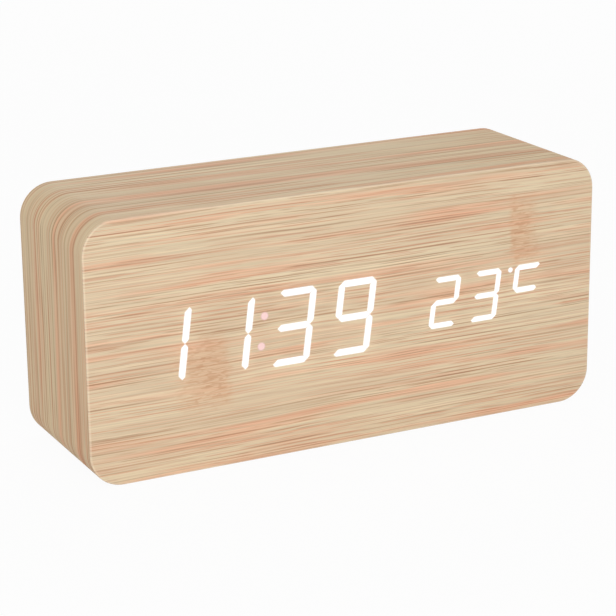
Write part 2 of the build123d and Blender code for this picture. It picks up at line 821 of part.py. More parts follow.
# Contact plates: one pair bridges two cells at each end, and the single ones carry the lead tabs
with BuildPart() as contact_plates:
    bridge_width = plate_width + cell_pitch
    with BuildSketch(sideways(well_left_x)):
        with Locations((cell_y, (cell_zs[0] + cell_zs[1]) / 2)):
            Rectangle(plate_height, bridge_width)
        with Locations((cell_y, cell_zs[-1])):
            Rectangle(plate_height, plate_width)
            Rectangle(tab_width, top_tab_z - cell_zs[-1], align=(Align.CENTER, Align.MIN))
    extrude(amount=plate_thickness)
    with BuildSketch(sideways(right_plate_x)):
        with Locations((cell_y, (cell_zs[1] + cell_zs[2]) / 2)):
            Rectangle(plate_height, bridge_width)
        with Locations((cell_y, cell_zs[0])):
            Rectangle(plate_height, plate_width)
    extrude(amount=plate_thickness)
    with BuildSketch(sideways(well_right_x)):
        with Locations((tab_y, cell_zs[0])):
            Rectangle(plate_thickness, tab_width)
    extrude(amount=right_tab_x - well_right_x)
finish(contact_plates, "contact_plates")


def spring_point(turn):
    """Point of the spring's wire after so many turns: a cone along +X that narrows towards the cell."""
    radius = spring_base_radius + (spring_top_radius - spring_base_radius) * turn / spring_turns
    angle = 2 * pi * turn
    reach = close_fit + spring_wire / 2 + spring_pitch * turn
    return Vector(reach, radius * cos(angle), radius * sin(angle))


def spring_direction(turn):
    """Direction of the wire there."""
    narrowing = (spring_top_radius - spring_base_radius) / spring_turns
    radius = spring_base_radius + narrowing * turn
    angle = 2 * pi * turn
    along_y = narrowing * cos(angle) - 2 * pi * radius * sin(angle)
    along_z = narrowing * sin(angle) + 2 * pi * radius * cos(angle)
    return Vector(spring_pitch, along_y, along_z).normalized()


def biarc(start, start_dir, end, end_dir):
    """Two arcs that join two points of a curve and keep its direction at both."""
    span = end - start
    both = start_dir + end_dir
    bend = 2 * (1 - start_dir.dot(end_dir))
    pull = (sqrt(span.dot(both) ** 2 + bend * span.dot(span)) - span.dot(both)) / bend
    joint = (start + end + (start_dir - end_dir) * pull) * 0.5
    joint_dir = (end - end_dir * pull - start - start_dir * pull).normalized()
    TangentArc(start, joint, tangent=start_dir)
    TangentArc(joint, end, tangent=joint_dir)


# Contact springs: conical coils that press each cell's flat end
with BuildPart() as spring:
    quarter_turns = [i / 4 for i in range(4 * spring_turns + 1)]
    with BuildLine() as spring_wire_path:
        for turn, next_turn in zip(quarter_turns, quarter_turns[1:]):
            biarc(
                spring_point(turn),
                spring_direction(turn),
                spring_point(next_turn),
                spring_direction(next_turn),
            )
    with BuildSketch(Plane(origin=spring_point(0), z_dir=spring_direction(0))):
        RegularPolygon(spring_wire / 2, spring_wire_sides)
    sweep(path=spring_wire_path.wires()[0])
turn_steps = [spring_point(turn + 1) - spring_point(turn) for turn in quarter_turns[:-4]]
turn_gaps = [step.length - spring_wire for step in turn_steps]
print("least gap between spring turns", round(min(turn_gaps), 3))
with BuildPart() as contact_springs:
    for i, z in enumerate(cell_zs):
        negative_right = i % 2 == 0
        seat_x = right_plate_x if negative_right else left_plate_x
        with Locations(Location((seat_x, cell_y, z), (0, 0, 180 if negative_right else 0))):
            add(spring.part)
finish(contact_springs, "contact_springs")

# Key board on the cover's standoffs
with BuildPart() as key_board:
    with BuildSketch(upright(key_front_y)):
        with Locations((key_board_center_x, middle_z)):
            RectangleRounded(key_board_width, key_board_height, key_board_corner_radius)
        with Locations(*standoff_points):
            Circle(key_screw_shank / 2 + running_fit, mode=Mode.SUBTRACT)
    extrude(amount=-board_thickness)
finish(key_board, "key_board")

# Key board screws: driven from inside into the standoffs
with BuildPart() as key_board_screws:
    with BuildSketch(upright(key_front_y)):
        with Locations(*standoff_points):
            Circle(key_screw_shank / 2)
    extrude(amount=-(board_thickness + key_screw_bite))
    with BuildSketch(upright(key_front_y)):
        with Locations(*standoff_points):
            Circle(key_screw_head / 2)
    extrude(amount=key_screw_head_height)
    with BuildSketch(upright(key_front_y - key_screw_head_height + cross_slot_depth)):
        with Locations(*standoff_points):
            Rectangle(key_screw_head * cross_slot_share, cross_slot_width)
            Rectangle(cross_slot_width, key_screw_head * cross_slot_share)
    extrude(amount=cross_slot_depth + overrun, mode=Mode.SUBTRACT)
finish(key_board_screws, "key_board_screws")

# Switches: moulded base with a round well, metal lid, and the contact dome at the bottom of the well
with BuildPart() as switch_bases:
    with BuildSketch(upright(key_rear_y)):
        with Locations(*button_points):
            Rectangle(switch_size, switch_size)
    extrude(amount=-switch_height)
    with BuildSketch(upright(switch_top_y - switch_well_depth)):
        with Locations(*button_points):
            Circle(switch_well_diameter / 2)
    extrude(amount=-(switch_well_depth + overrun), mode=Mode.SUBTRACT)
finish(switch_bases, "switch_bases")

with BuildPart() as switch_lids:
    with BuildSketch(upright(switch_top_y)):
        with Locations(*button_points):
            Rectangle(switch_size, switch_size)
            Circle(plunger_diameter / 2 + running_fit, mode=Mode.SUBTRACT)
    extrude(amount=-switch_lid_thickness)
finish(switch_lids, "switch_lids")

with BuildPart() as switch_domes:
    dome_seat_y = switch_top_y - switch_well_depth
    for x, z in button_points:
        with BuildSketch(Plane(origin=(x, dome_seat_y, z), x_dir=(1, 0, 0), z_dir=(0, 0, 1))):
            with BuildLine():
                dome_top = dome_top_share * dome_diameter / 2
                dome_rim = (dome_diameter / 2, 0)
                Polyline((0, 0), dome_rim, (dome_top, dome_height), (0, dome_height), close=True)
            make_face()
        revolve(axis=Axis((x, dome_seat_y, z), (0, 1, 0)))
finish(switch_domes, "switch_domes")

# Buttons: a capped head that stands out of the cover, a flange behind it and a stem on the switch plunger
for name, x in zip(button_names, button_xs):
    with BuildPart() as button_cap:
        with BuildSketch(upright(button_flange_y)):
            with Locations((x, button_z)):
                Circle(button_diameter / 2)
        extrude(amount=button_flange_y - button_top_y)
        chamfer(button_cap.faces().sort_by(Axis.Y)[-1].edges(), button_edge)
        with BuildSketch(upright(button_flange_y)):
            with Locations((x, button_z)):
                Circle(button_flange_diameter / 2)
        extrude(amount=button_flange_thickness)
        with BuildSketch(upright(plunger_top_y)):
            with Locations((x, button_z)):
                Circle(button_stem_diameter / 2)
        extrude(amount=plunger_top_y - button_flange_y)
    finish(button_cap, f"{name}_button_cap")

    with BuildPart() as switch_plunger:
        with BuildSketch(upright(collar_top_y)):
            with Locations((x, button_z)):
                Circle(plunger_collar_diameter / 2)
        extrude(amount=plunger_collar_height)
        with BuildSketch(upright(collar_top_y)):
            with Locations((x, button_z)):
                Circle(plunger_diameter / 2)
        extrude(amount=collar_top_y - plunger_top_y)
    finish(switch_plunger, f"{name}_switch_plunger")

# Power inlet: a folded shell that faces the rear, with its contact tongue
with BuildPart() as usb_shell:
    with BuildSketch(upright(key_rear_y)):
        with Locations(key_point(usb_offset)):
            RectangleRounded(usb_width, usb_height, usb_corner_radius)
    extrude(amount=key_rear_y - usb_mouth_y)
    with BuildSketch(upright(key_rear_y + usb_base_depth)):
        with Locations(key_point(usb_offset)):
            RectangleRounded(
                usb_width - 2 * usb_wall,
                usb_height - 2 * usb_wall,
                usb_corner_radius - usb_wall,
            )
    extrude(amount=key_rear_y + usb_base_depth - usb_mouth_y - overrun, mode=Mode.SUBTRACT)
finish(usb_shell, "usb_shell")

with BuildPart() as usb_tongue:
    with BuildSketch(upright(key_rear_y + usb_base_depth)):
        with Locations(key_point(usb_offset)):
            Rectangle(usb_tongue_width, usb_tongue_thickness)
    extrude(amount=key_rear_y + usb_base_depth - usb_mouth_y + usb_tongue_recess)
finish(usb_tongue, "usb_tongue")

# Sounder behind the ring of holes in the cover
with BuildPart() as buzzer:
    with BuildSketch(upright(key_rear_y)):
        with Locations(key_point(buzzer_offset)):
            Circle(buzzer_diameter / 2)
    extrude(amount=-buzzer_height)
    chamfer(buzzer.faces().sort_by(Axis.Y)[-1].edges(), buzzer_edge)
    with BuildSketch(upright(key_rear_y + buzzer_height - buzzer_mouth_depth)):
        with Locations(key_point(buzzer_offset)):
            Circle(buzzer_mouth_diameter / 2)
    extrude(amount=-(buzzer_mouth_depth + overrun), mode=Mode.SUBTRACT)
finish(buzzer, "buzzer")

# Microphone that wakes the display at a clap
with BuildPart() as microphone:
    with BuildSketch(upright(key_rear_y)):
        with Locations(key_point(mic_offset)):
            Circle(mic_diameter / 2)
    extrude(amount=-mic_height)
    with BuildSketch(upright(key_rear_y + mic_height - mic_mouth_depth)):
        with Locations(key_point(mic_offset)):
            Circle(mic_mouth_diameter / 2)
    extrude(amount=-(mic_mouth_depth + overrun), mode=Mode.SUBTRACT)
finish(microphone, "microphone")

# Temperature bead on its two leads
with BuildPart() as temperature_sensor:
    bead_x, bead_z = key_point(bead_offset)
    with BuildSketch(upright(key_rear_y)):
        with Locations((bead_x - bead_lead_pitch / 2, bead_z), (bead_x + bead_lead_pitch / 2, bead_z)):
            Circle(bead_lead_diameter / 2)
    extrude(amount=-bead_rise)
    with BuildSketch(upright(key_rear_y + bead_rise - bead_diameter / 2)):
        with Locations((bead_x, bead_z)):
            Circle(bead_diameter / 2)
    extrude(amount=-bead_diameter)
    chamfer(temperature_sensor.faces().sort_by(Axis.Y)[-1].edges(), bead_edge)
finish(temperature_sensor, "temperature_sensor")

# Ribbon sockets, one on each board, with their mouths towards each other
display_socket_x = display_socket_share * mask_width
display_mouth_y = display_rear_y + socket_height
key_mouth_y = key_front_y - socket_height
with BuildPart() as ribbon_sockets:
    with BuildSketch(upright(display_rear_y)):
        with Locations((display_socket_x, middle_z)):
            Rectangle(socket_depth, socket_width)
    extrude(amount=-socket_height)
    with BuildSketch(upright(key_front_y)):
        with Locations((key_board_center_x, middle_z)):
            Rectangle(socket_depth, socket_width)
    extrude(amount=socket_height)
    with BuildSketch(upright(display_mouth_y - socket_slot_depth)):
        with Locations((display_socket_x, middle_z)):
            Rectangle(ribbon_thickness + 2 * running_fit, ribbon_width + 2 * running_fit)
    extrude(amount=-(socket_slot_depth + overrun), mode=Mode.SUBTRACT)
    with BuildSketch(upright(key_mouth_y + socket_slot_depth)):
        with Locations((key_board_center_x, middle_z)):
            Rectangle(ribbon_thickness + 2 * running_fit, ribbon_width + 2 * running_fit)
    extrude(amount=socket_slot_depth + overrun, mode=Mode.SUBTRACT)
finish(ribbon_sockets, "ribbon_sockets")


def bend_radii(points):
    """Radius at each corner of a route, as large as its two runs allow."""
    runs = [end - start for start, end in zip(points, points[1:])]
    radii = []
    for before, after in zip(runs, runs[1:]):
        half_turn = radians(before.get_angle(after) / 2)
        radii.append(bend_share * min(before.length, after.length) / tan(half_turn))
    return radii


# Ribbon cable: an easy S from one socket to the other
with BuildPart() as ribbon_cable:
    ribbon_start_y = display_mouth_y - socket_slot_depth
    ribbon_end_y = key_mouth_y + socket_slot_depth
    ribbon_run = ribbon_run_share * (ribbon_end_y - ribbon_start_y)
    ribbon_points = [
        Vector(display_socket_x, ribbon_start_y, middle_z),
        Vector(display_socket_x, ribbon_start_y + ribbon_run, middle_z),
        Vector(key_board_center_x, ribbon_end_y - ribbon_run, middle_z),
        Vector(key_board_center_x, ribbon_end_y, middle_z),
    ]
    with BuildLine() as ribbon_path:
        FilletPolyline(*ribbon_points, radius=bend_radii(ribbon_points))
    with BuildSketch(Plane(origin=ribbon_points[0], x_dir=(1, 0, 0), z_dir=(0, 1, 0))):
        Rectangle(ribbon_thickness, ribbon_width)
    sweep(path=ribbon_path.wires()[0])
finish(ribbon_cable, "ribbon_cable")


def lead(route):
    """Insulated wire along a route."""
    points = [Vector(*point) for point in route]
    radii = bend_radii(points)
    print("lead bends", [round(radius, 1) for radius in radii])
    with BuildPart() as wire:
        with BuildLine() as path:
            FilletPolyline(*points, radius=radii)
        with BuildSketch(Plane(origin=points[0], z_dir=points[1] - points[0])):
            RegularPolygon(lead_diameter / 2, lead_sides)
        sweep(path=path.wires()[0])
    return wire


# Battery leads, from the contact tabs to the pads on the key board
lead_pad_x = key_board_center_x - key_board_width / 2 + lead_pad_inset
lead_pad_y = key_rear_y + lead_stub
lead_arch_y = lead_pad_y + lead_arch
black_start = Vector(right_tab_x, tab_y, cell_zs[0])
black_end = Vector(lead_pad_x, key_rear_y, middle_z - lead_pad_rise)
black_step = black_end - black_start
battery_lead_black = lead([
    black_start,
    black_start + Vector(lead_stub, 0, 0),
    (black_end.X - black_step.X / 4, lead_arch_y, black_end.Z - black_step.Z / 4),
    (lead_pad_x, lead_pad_y, black_end.Z),
    black_end,
])
finish(battery_lead_black, "battery_lead_black")

lane_z = top_tab_z + lead_lane_rise
lane_step = (right_tab_x - well_left_x) / 4
red_end = Vector(lead_pad_x, key_rear_y, middle_z + lead_pad_rise)
red_drop = lane_z - red_end.Z
battery_lead_red = lead([
    (well_left_x + plate_thickness / 2, tab_y, top_tab_z),
    (well_left_x + plate_thickness / 2, tab_y, lane_z - lead_diameter / 2),
    (well_left_x + lane_step / 3, tab_y, lane_z + lead_diameter / 2),
    (well_left_x + lane_step, tab_y - lead_diameter / 3, lane_z),
    (well_left_x + 2 * lane_step, tab_y, lane_z + lead_diameter / 3),
    (well_left_x + 3 * lane_step, tab_y + lead_diameter / 3, lane_z),
    (right_tab_x + lead_diameter, tab_y, lane_z - red_drop / 8),
    (right_tab_x + 2 * lead_diameter, tab_y, red_end.Z + red_drop / 2),
    (lead_pad_x - lead_diameter, lead_arch_y, red_end.Z + red_drop / 6),
    (lead_pad_x, lead_pad_y, red_end.Z),
    red_end,
])
finish(battery_lead_red, "battery_lead_red")
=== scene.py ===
# %% [markdown]
# # A wooden alarm clock
# The real clock is a block of fibreboard wrapped in a thin bamboo film. Light chips behind the front shine
# through the film, so the digits seem to float on bare wood. This lesson dresses the finished solids:
# it takes most of them as they are, gives each a finish, and models again only what the eye rests on.

# %% Load the fixed frame
import math

import bpy
from mathutils import Matrix, Vector


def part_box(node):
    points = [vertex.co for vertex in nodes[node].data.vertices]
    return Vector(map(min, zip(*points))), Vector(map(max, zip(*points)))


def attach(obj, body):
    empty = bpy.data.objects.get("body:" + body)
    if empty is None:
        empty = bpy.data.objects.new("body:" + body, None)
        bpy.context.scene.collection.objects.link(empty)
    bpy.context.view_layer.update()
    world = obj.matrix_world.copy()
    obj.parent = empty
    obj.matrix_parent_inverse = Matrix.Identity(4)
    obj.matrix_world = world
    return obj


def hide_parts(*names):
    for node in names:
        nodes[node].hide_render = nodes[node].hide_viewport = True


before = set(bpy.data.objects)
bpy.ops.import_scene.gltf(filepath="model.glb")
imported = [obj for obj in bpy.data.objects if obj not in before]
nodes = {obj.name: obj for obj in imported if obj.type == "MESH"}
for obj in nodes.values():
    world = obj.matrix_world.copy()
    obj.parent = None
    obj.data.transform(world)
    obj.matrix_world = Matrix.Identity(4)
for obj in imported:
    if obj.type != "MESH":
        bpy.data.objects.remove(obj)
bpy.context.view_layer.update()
MM = 0.001

# %% [markdown]
# ## The camera
# The photograph looks at the clock from its left and from above, with a long lens. The place below was found
# by matching the corners of the case, so every later piece can be judged against the photograph at once.

# %% Camera at the photograph's place
CAMERA_PLACE = Vector((-255.63, -504.32, 205.62)) * MM
CAMERA_AZIMUTH = math.radians(-26.72)
CAMERA_ELEVATION = math.radians(17.13)
CAMERA_ROLL = math.radians(-0.58)
FOCAL_PIXELS = 2166.0
IMAGE_PIXELS = 616

bpy.ops.object.select_all(action="DESELECT")
bpy.ops.object.camera_add()
camera = bpy.context.object
camera.name = "photo_camera"
flat = math.cos(CAMERA_ELEVATION)
back = Vector((
    math.sin(CAMERA_AZIMUTH) * flat,
    -math.cos(CAMERA_AZIMUTH) * flat,
    math.sin(CAMERA_ELEVATION),
))
level = Vector((math.cos(CAMERA_AZIMUTH), math.sin(CAMERA_AZIMUTH), 0))
upward = back.cross(level)
right = level * math.cos(CAMERA_ROLL) + upward * math.sin(CAMERA_ROLL)
upward = back.cross(right)
turn = Matrix((right, upward, back)).transposed().to_4x4()
camera.matrix_world = Matrix.Translation(CAMERA_PLACE) @ turn
camera.data.sensor_width = 36.0
camera.data.lens = FOCAL_PIXELS / IMAGE_PIXELS * camera.data.sensor_width
camera.data.clip_start = 0.01
camera.data.clip_end = 20.0
bpy.context.scene.camera = camera
bpy.context.scene.view_settings.view_transform = "Standard"
print("lens in mm", round(camera.data.lens, 1))

# %% [markdown]
# ## Helpers for node trees
# Every finish is a small tree of nodes. A few helpers keep the cells short: one adds a node and feeds its
# inputs, and the others stand for the nodes that come most often, such as arithmetic, a soft step, a blend of
# two colours or noise.

# %% Node helpers
def tone(red, green, blue):
    """A colour as a screen shows it, 0 to 255, turned into the light values that shaders use."""
    shares = [value / 255 for value in (red, green, blue)]
    light = [v / 12.92 if v <= 0.04045 else ((v + 0.055) / 1.055) ** 2.4 for v in shares]
    return (*light, 1.0)


def add_node(tree, kind, feeds=None, **settings):
    """Add a shader node, set its options, and feed its inputs with values or with other sockets."""
    made = tree.nodes.new("ShaderNode" + kind)
    for option, value in settings.items():
        setattr(made, option, value)
    for socket, value in (feeds or {}).items():
        if isinstance(value, bpy.types.NodeSocket):
            tree.links.new(value, made.inputs[socket])
        else:
            made.inputs[socket].default_value = value
    return made


def calc(tree, operation, first, second=0.0, third=0.0):
    """One step of arithmetic."""
    return add_node(tree, "Math", {0: first, 1: second, 2: third}, operation=operation).outputs[0]


def soft_step(tree, value, low, high):
    """0 below low, 1 above high, and smooth between; low may be the larger one."""
    return add_node(tree, "MapRange", {0: value, 1: low, 2: high}, interpolation_type="SMOOTHSTEP").outputs[0]


def blend(tree, share, first, second, blend_type="MIX"):
    """Two colours mixed by a share."""
    made = add_node(tree, "Mix", {0: share, 6: first, 7: second}, data_type="RGBA", blend_type=blend_type)
    return made.outputs[2]


def noise(tree, place, scale=1.0, detail=2.0, roughness=0.5, distortion=0.0):
    """Noise between 0 and 1, mostly near the middle."""
    feeds = {
        "Vector": place,
        "Scale": scale,
        "Detail": detail,
        "Roughness": roughness,
        "Distortion": distortion,
    }
    return add_node(tree, "TexNoise", feeds).outputs[0]


def point(tree, x, y, z=0.0):
    """Three numbers as one place."""
    return add_node(tree, "CombineXYZ", {0: x, 1: y, 2: z}).outputs[0]


def grey(tree, value):
    """A grey as light as the value."""
    return add_node(tree, "CombineColor", {0: value, 1: value, 2: value}).outputs[0]


def new_group(name, inputs, outputs):
    """A shader node group with named number inputs, and outputs given as name and kind."""
    group = bpy.data.node_groups.new(name, "ShaderNodeTree")
    for socket, value in inputs.items():
        made = group.interface.new_socket(socket, in_out="INPUT", socket_type="NodeSocketFloat")
        made.default_value = value
    for socket, kind in outputs.items():
        group.interface.new_socket(socket, in_out="OUTPUT", socket_type="NodeSocket" + kind)
    return group, group.nodes.new("NodeGroupInput").outputs, group.nodes.new("NodeGroupOutput").inputs


def new_material(name):
    """A material with its tree, its shader and the place on the object in millimetres."""
    material = bpy.data.materials.new(name)
    material.use_nodes = True
    tree = material.node_tree
    shader = tree.nodes["Principled BSDF"]
    coordinates = add_node(tree, "TexCoord").outputs["Object"]
    place = add_node(tree, "VectorMath", {0: coordinates, "Scale": 1 / MM}, operation="SCALE").outputs[0]
    return material, tree, shader, place


def place_group(tree, group, feeds):
    """Put a node group into a tree and return its outputs."""
    return add_node(tree, "Group", feeds, node_tree=group).outputs


def add_bump(tree, shader, height, distance, strength=1.0, edge=0.0):
    """Small relief, with its depth in millimetres; edge is the radius that sharp edges seem to have."""
    feeds = {"Strength": strength, "Distance": distance * MM, "Height": height}
    if edge:
        feeds["Normal"] = add_node(tree, "Bevel", {"Radius": edge * MM}, samples=4).outputs[0]
    tree.links.new(add_node(tree, "Bump", feeds).outputs[0], shader.inputs["Normal"])


print("node helpers ready")

# %% [markdown]
# ## Bamboo film
# The film is printed with bamboo strips: a pale yellow ground, soft pink bands a few millimetres wide, thin
# brown and pink lines, and here and there a knuckle where the grain turns short and wavy. Noise that is drawn
# out along the grain gives the ground, the bands and the fibre. Lines made of noise swell and merge, so the
# thin lines stand in lanes instead: each lane has one line, with a place, a width and a tint of its own, that
# comes and goes along the grain. One group serves all the films, and a material only says which way is along
# the grain and which is across it.

# %% Colours and sizes of the grain
GROUND_PALE = tone(227, 208, 176)
GROUND_DEEP = tone(221, 199, 168)
BAND_COLOR = tone(231, 184, 152)
STREAK_BROWN = tone(172, 120, 87)
STREAK_PINK = tone(208, 144, 115)

DRIFT_LENGTH = 60.0
DRIFT_WIDTH = 30.0
DRIFT_REACH = 1.5
GROUND_NOISE = {"length": 120.0, "width": 9.0, "layer": 3.0, "detail": 3.0}
GROUND_RANGE = (0.36, 0.64)
BAND_NOISE = {"length": 70.0, "width": 3.0, "layer": 11.0}
BAND_RANGE = (0.48, 0.70)
BAND_SHARE = 0.85
PINK_NOISE = {"length": 45.0, "width": 1.2, "layer": 23.0, "roughness": 0.6}
PINK_RANGE = (0.55, 0.68)
PINK_SHARE = 0.36
FIBRE_NOISE = {"length": 40.0, "width": 0.3, "layer": 29.0, "detail": 1.0}
FIBRE_GAIN = 0.46
CLUSTER_NOISE = {"length": 60.0, "width": 7.0, "layer": 37.0, "detail": 1.0}
CLUSTER_RANGE = (0.36, 0.60)
CLUSTER_LEAST = 0.45
LONG_HAIRS = {"pitch": 1.1, "length": 30.0, "thin": 0.16, "thick": 0.30, "layer": 5.1}
LONG_SHARE = 0.64
SHORT_HAIRS = {"pitch": 0.75, "length": 12.0, "thin": 0.12, "thick": 0.22, "layer": 9.4}
SHORT_SHARE = 0.54
HAIR_FROM = 0.3
HAIR_SWAY = 0.4
HAIR_CORE = 0.35
HAIR_RUN_RANGE = (0.40, 0.58)
HAIR_TINT_RANGE = (0.3, 0.7)
LANE_STEP = 7.3
WIDTH_DRAW = 0.3
TINT_DRAW = 0.7
print("grain bands in mm", BAND_NOISE["width"], "lines in mm", LONG_HAIRS["pitch"], SHORT_HAIRS["pitch"])

# %% Bamboo grain group
grain_sockets = ("Along", "Across", "Sheet", "Knot", "Warmth", "Glow", "EdgeHighlight")
grain_inputs = {socket: 0.0 for socket in grain_sockets}
grain_outputs = {"Color": "Color", "Roughness": "Float", "Height": "Float"}
bamboo_group, grain_in, grain_out = new_group("bamboo_grain", grain_inputs, grain_outputs)
along, across, sheet = grain_in["Along"], grain_in["Across"], grain_in["Sheet"]


def grain(operation, first, second=0.0, third=0.0):
    """One step of arithmetic in the grain group."""
    return calc(bamboo_group, operation, first, second, third)


def drawn_out(side, length, width, layer):
    """A place for noise whose spots are that long along the grain and that wide across it."""
    return point(
        bamboo_group,
        grain("DIVIDE", along, length),
        grain("DIVIDE", side, width),
        grain("ADD", sheet, layer),
    )


drift_noise = noise(bamboo_group, drawn_out(across, DRIFT_LENGTH, DRIFT_WIDTH, 0.0), detail=1.0)
bent = grain("MULTIPLY_ADD", grain("SUBTRACT", drift_noise, 0.5), DRIFT_REACH, across)
print("grain inputs", grain_sockets)

# %% Layers of the grain
def stretched(length, width, layer, detail=2.0, roughness=0.5):
    """Noise drawn out along the grain, which drifts a little from side to side."""
    return noise(bamboo_group, drawn_out(bent, length, width, layer), detail=detail, roughness=roughness)


def stretched_patches(sizes, limits):
    """Soft patches drawn out along the grain."""
    return soft_step(bamboo_group, stretched(**sizes), *limits)


def lane_chance(lane, draw):
    """A steady random number for each lane."""
    feeds = {"W": grain("ADD", lane, draw)}
    return add_node(bamboo_group, "TexWhiteNoise", feeds, noise_dimensions="1D").outputs["Value"]


def hair_lines(pitch, length, thin, thick, layer):
    """Thin lines, one to a lane, that come and go along the grain; with the random tint of each lane."""
    lanes = grain("ADD", grain("DIVIDE", bent, pitch), sheet)
    lane = grain("FLOOR", lanes)
    middle = grain("MULTIPLY_ADD", lane_chance(lane, layer), HAIR_SWAY, HAIR_FROM)
    away = grain("ABSOLUTE", grain("SUBTRACT", grain("FRACT", lanes), middle))
    half_width = grain("MULTIPLY_ADD", lane_chance(lane, layer + WIDTH_DRAW), thick - thin, thin)
    nearness = grain("DIVIDE", grain("MULTIPLY", away, pitch), half_width)
    run_place = point(
        bamboo_group,
        grain("DIVIDE", along, length),
        grain("MULTIPLY", lane, LANE_STEP),
        layer,
    )
    shown = soft_step(bamboo_group, noise(bamboo_group, run_place, detail=1.0), *HAIR_RUN_RANGE)
    line = grain("MULTIPLY", soft_step(bamboo_group, nearness, 1.0, HAIR_CORE), shown)
    return line, lane_chance(lane, layer + TINT_DRAW)


ground = stretched_patches(GROUND_NOISE, GROUND_RANGE)
bands = stretched_patches(BAND_NOISE, BAND_RANGE)
pinks = stretched_patches(PINK_NOISE, PINK_RANGE)
clusters = stretched_patches(CLUSTER_NOISE, CLUSTER_RANGE)
fibre = stretched(**FIBRE_NOISE)
long_hairs, long_tint = hair_lines(**LONG_HAIRS)
short_hairs, short_tint = hair_lines(**SHORT_HAIRS)
streaks = grain("MAXIMUM", long_hairs, short_hairs)
print("grain nodes", len(bamboo_group.nodes))

# %% Colour of the grain
color = blend(bamboo_group, ground, GROUND_PALE, GROUND_DEEP)
color = blend(bamboo_group, grain("MULTIPLY", bands, BAND_SHARE), color, BAND_COLOR)
color = blend(bamboo_group, grain("MULTIPLY", pinks, PINK_SHARE), color, STREAK_PINK)
strength = grain("MULTIPLY_ADD", clusters, 1 - CLUSTER_LEAST, CLUSTER_LEAST)
for hairs, tint, share in ((long_hairs, long_tint, LONG_SHARE), (short_hairs, short_tint, SHORT_SHARE)):
    pinkness = soft_step(bamboo_group, tint, *HAIR_TINT_RANGE)
    hair_color = blend(bamboo_group, pinkness, STREAK_BROWN, STREAK_PINK)
    hair_share = grain("MULTIPLY", grain("MULTIPLY", hairs, share), strength)
    color = blend(bamboo_group, hair_share, color, hair_color)
fibre_shade = grain("MULTIPLY_ADD", grain("SUBTRACT", fibre, 0.5), FIBRE_GAIN, 1.0)
color = blend(bamboo_group, 1.0, color, grey(bamboo_group, fibre_shade), "MULTIPLY")
print("grain nodes with colour", len(bamboo_group.nodes))

# %% Knuckles, glow and outputs of the grain group
KNOT_GROUND = tone(224, 176, 140)
KNOT_SHARE = 0.42
KNOT_WAVE = tone(190, 130, 92)
WAVE_LENGTH = 3.4
WAVE_WIDTH = 0.7
WAVE_LAYER = 41.0
WAVE_BEND = 0.8
WAVE_RANGE = (0.48, 0.60)
WAVE_SHARE = 0.36
# Painted highlight: the film's rounded front edge is made paler, as where that edge catches the light
EDGE_HIGHLIGHT_COLOR = tone(240, 221, 194)
EDGE_HIGHLIGHT_SHARE = 0.35
WARM_TINT = (1.0, 0.89, 0.69, 1.0)
GLOW_LIFT = (1.06, 1.06, 1.06, 1.0)
SATIN_ROUGHNESS = 0.52
STREAK_ROUGHNESS = 0.12
RELIEF_SHARE = 0.5

knot = grain_in["Knot"]
wave_place = drawn_out(bent, WAVE_LENGTH, WAVE_WIDTH, WAVE_LAYER)
wave_noise = noise(bamboo_group, wave_place, detail=1.0, distortion=WAVE_BEND)
waves = grain("MULTIPLY", knot, soft_step(bamboo_group, wave_noise, *WAVE_RANGE))
color = blend(bamboo_group, grain("MULTIPLY", knot, KNOT_SHARE), color, KNOT_GROUND)
color = blend(bamboo_group, grain("MULTIPLY", waves, WAVE_SHARE), color, KNOT_WAVE)
# painted highlight along the film's rounded front edge
color = blend(bamboo_group, grain("MULTIPLY", grain_in["EdgeHighlight"], EDGE_HIGHLIGHT_SHARE), color, EDGE_HIGHLIGHT_COLOR)
for socket, tint in (("Warmth", WARM_TINT), ("Glow", GLOW_LIFT)):
    tinted = blend(bamboo_group, 1.0, color, tint, "MULTIPLY")
    color = blend(bamboo_group, grain_in[socket], color, tinted)
satin = grain("MULTIPLY_ADD", streaks, STREAK_ROUGHNESS, SATIN_ROUGHNESS)
relief = grain("MULTIPLY", grain("SUBTRACT", fibre, streaks), RELIEF_SHARE)
bamboo_group.links.new(color, grain_out["Color"])
bamboo_group.links.new(satin, grain_out["Roughness"])
bamboo_group.links.new(relief, grain_out["Height"])
print("grain group sockets", list(grain_outputs))

# %% [markdown]
# ## Three bamboo materials
# On the front the grain runs level, so the clock's width is along and its height is across. On the wrap it
# follows the way round the case, up one side, over the top and down the other, with the depth across. Adding
# height to width does that without any unwrapping: up the left side the sum grows, and on the top it goes on
# growing. The wrap's print is twice as large as the front's. At the rear it is turned in over the rim, where
# the way in from the outline, round corners included, takes over from the depth.

# %% Material of the front film
# Each knuckle: x of its joint, reach along the grain, height of its middle, reach up and down, in millimetres
KNUCKLES = ((-36.0, -19.0, 26.0, 10.5), (48.5, 11.0, 52.0, 10.0))
KNUCKLE_LEAN = 0.06
KNUCKLE_START = (-0.08, 0.1)
KNUCKLE_END = (1.0, 0.35)
KNUCKLE_RISE = (1.1, 0.5)
WOBBLE_SCALE = 0.3
WOBBLE_REACH = 0.8
WOBBLE_ALONG = 0.3
FILM_BUMP = 0.02
FILM_BUMP_STRENGTH = 0.35
FILM_SPECULAR = 0.03


def finish_bamboo(tree, shader, feeds):
    """Feed the shader of a bamboo material from the grain group."""
    grained = place_group(tree, bamboo_group, feeds)
    tree.links.new(grained["Color"], shader.inputs["Base Color"])
    tree.links.new(grained["Roughness"], shader.inputs["Roughness"])
    add_bump(tree, shader, grained["Height"], FILM_BUMP, FILM_BUMP_STRENGTH)
    shader.inputs["Specular IOR Level"].default_value = FILM_SPECULAR


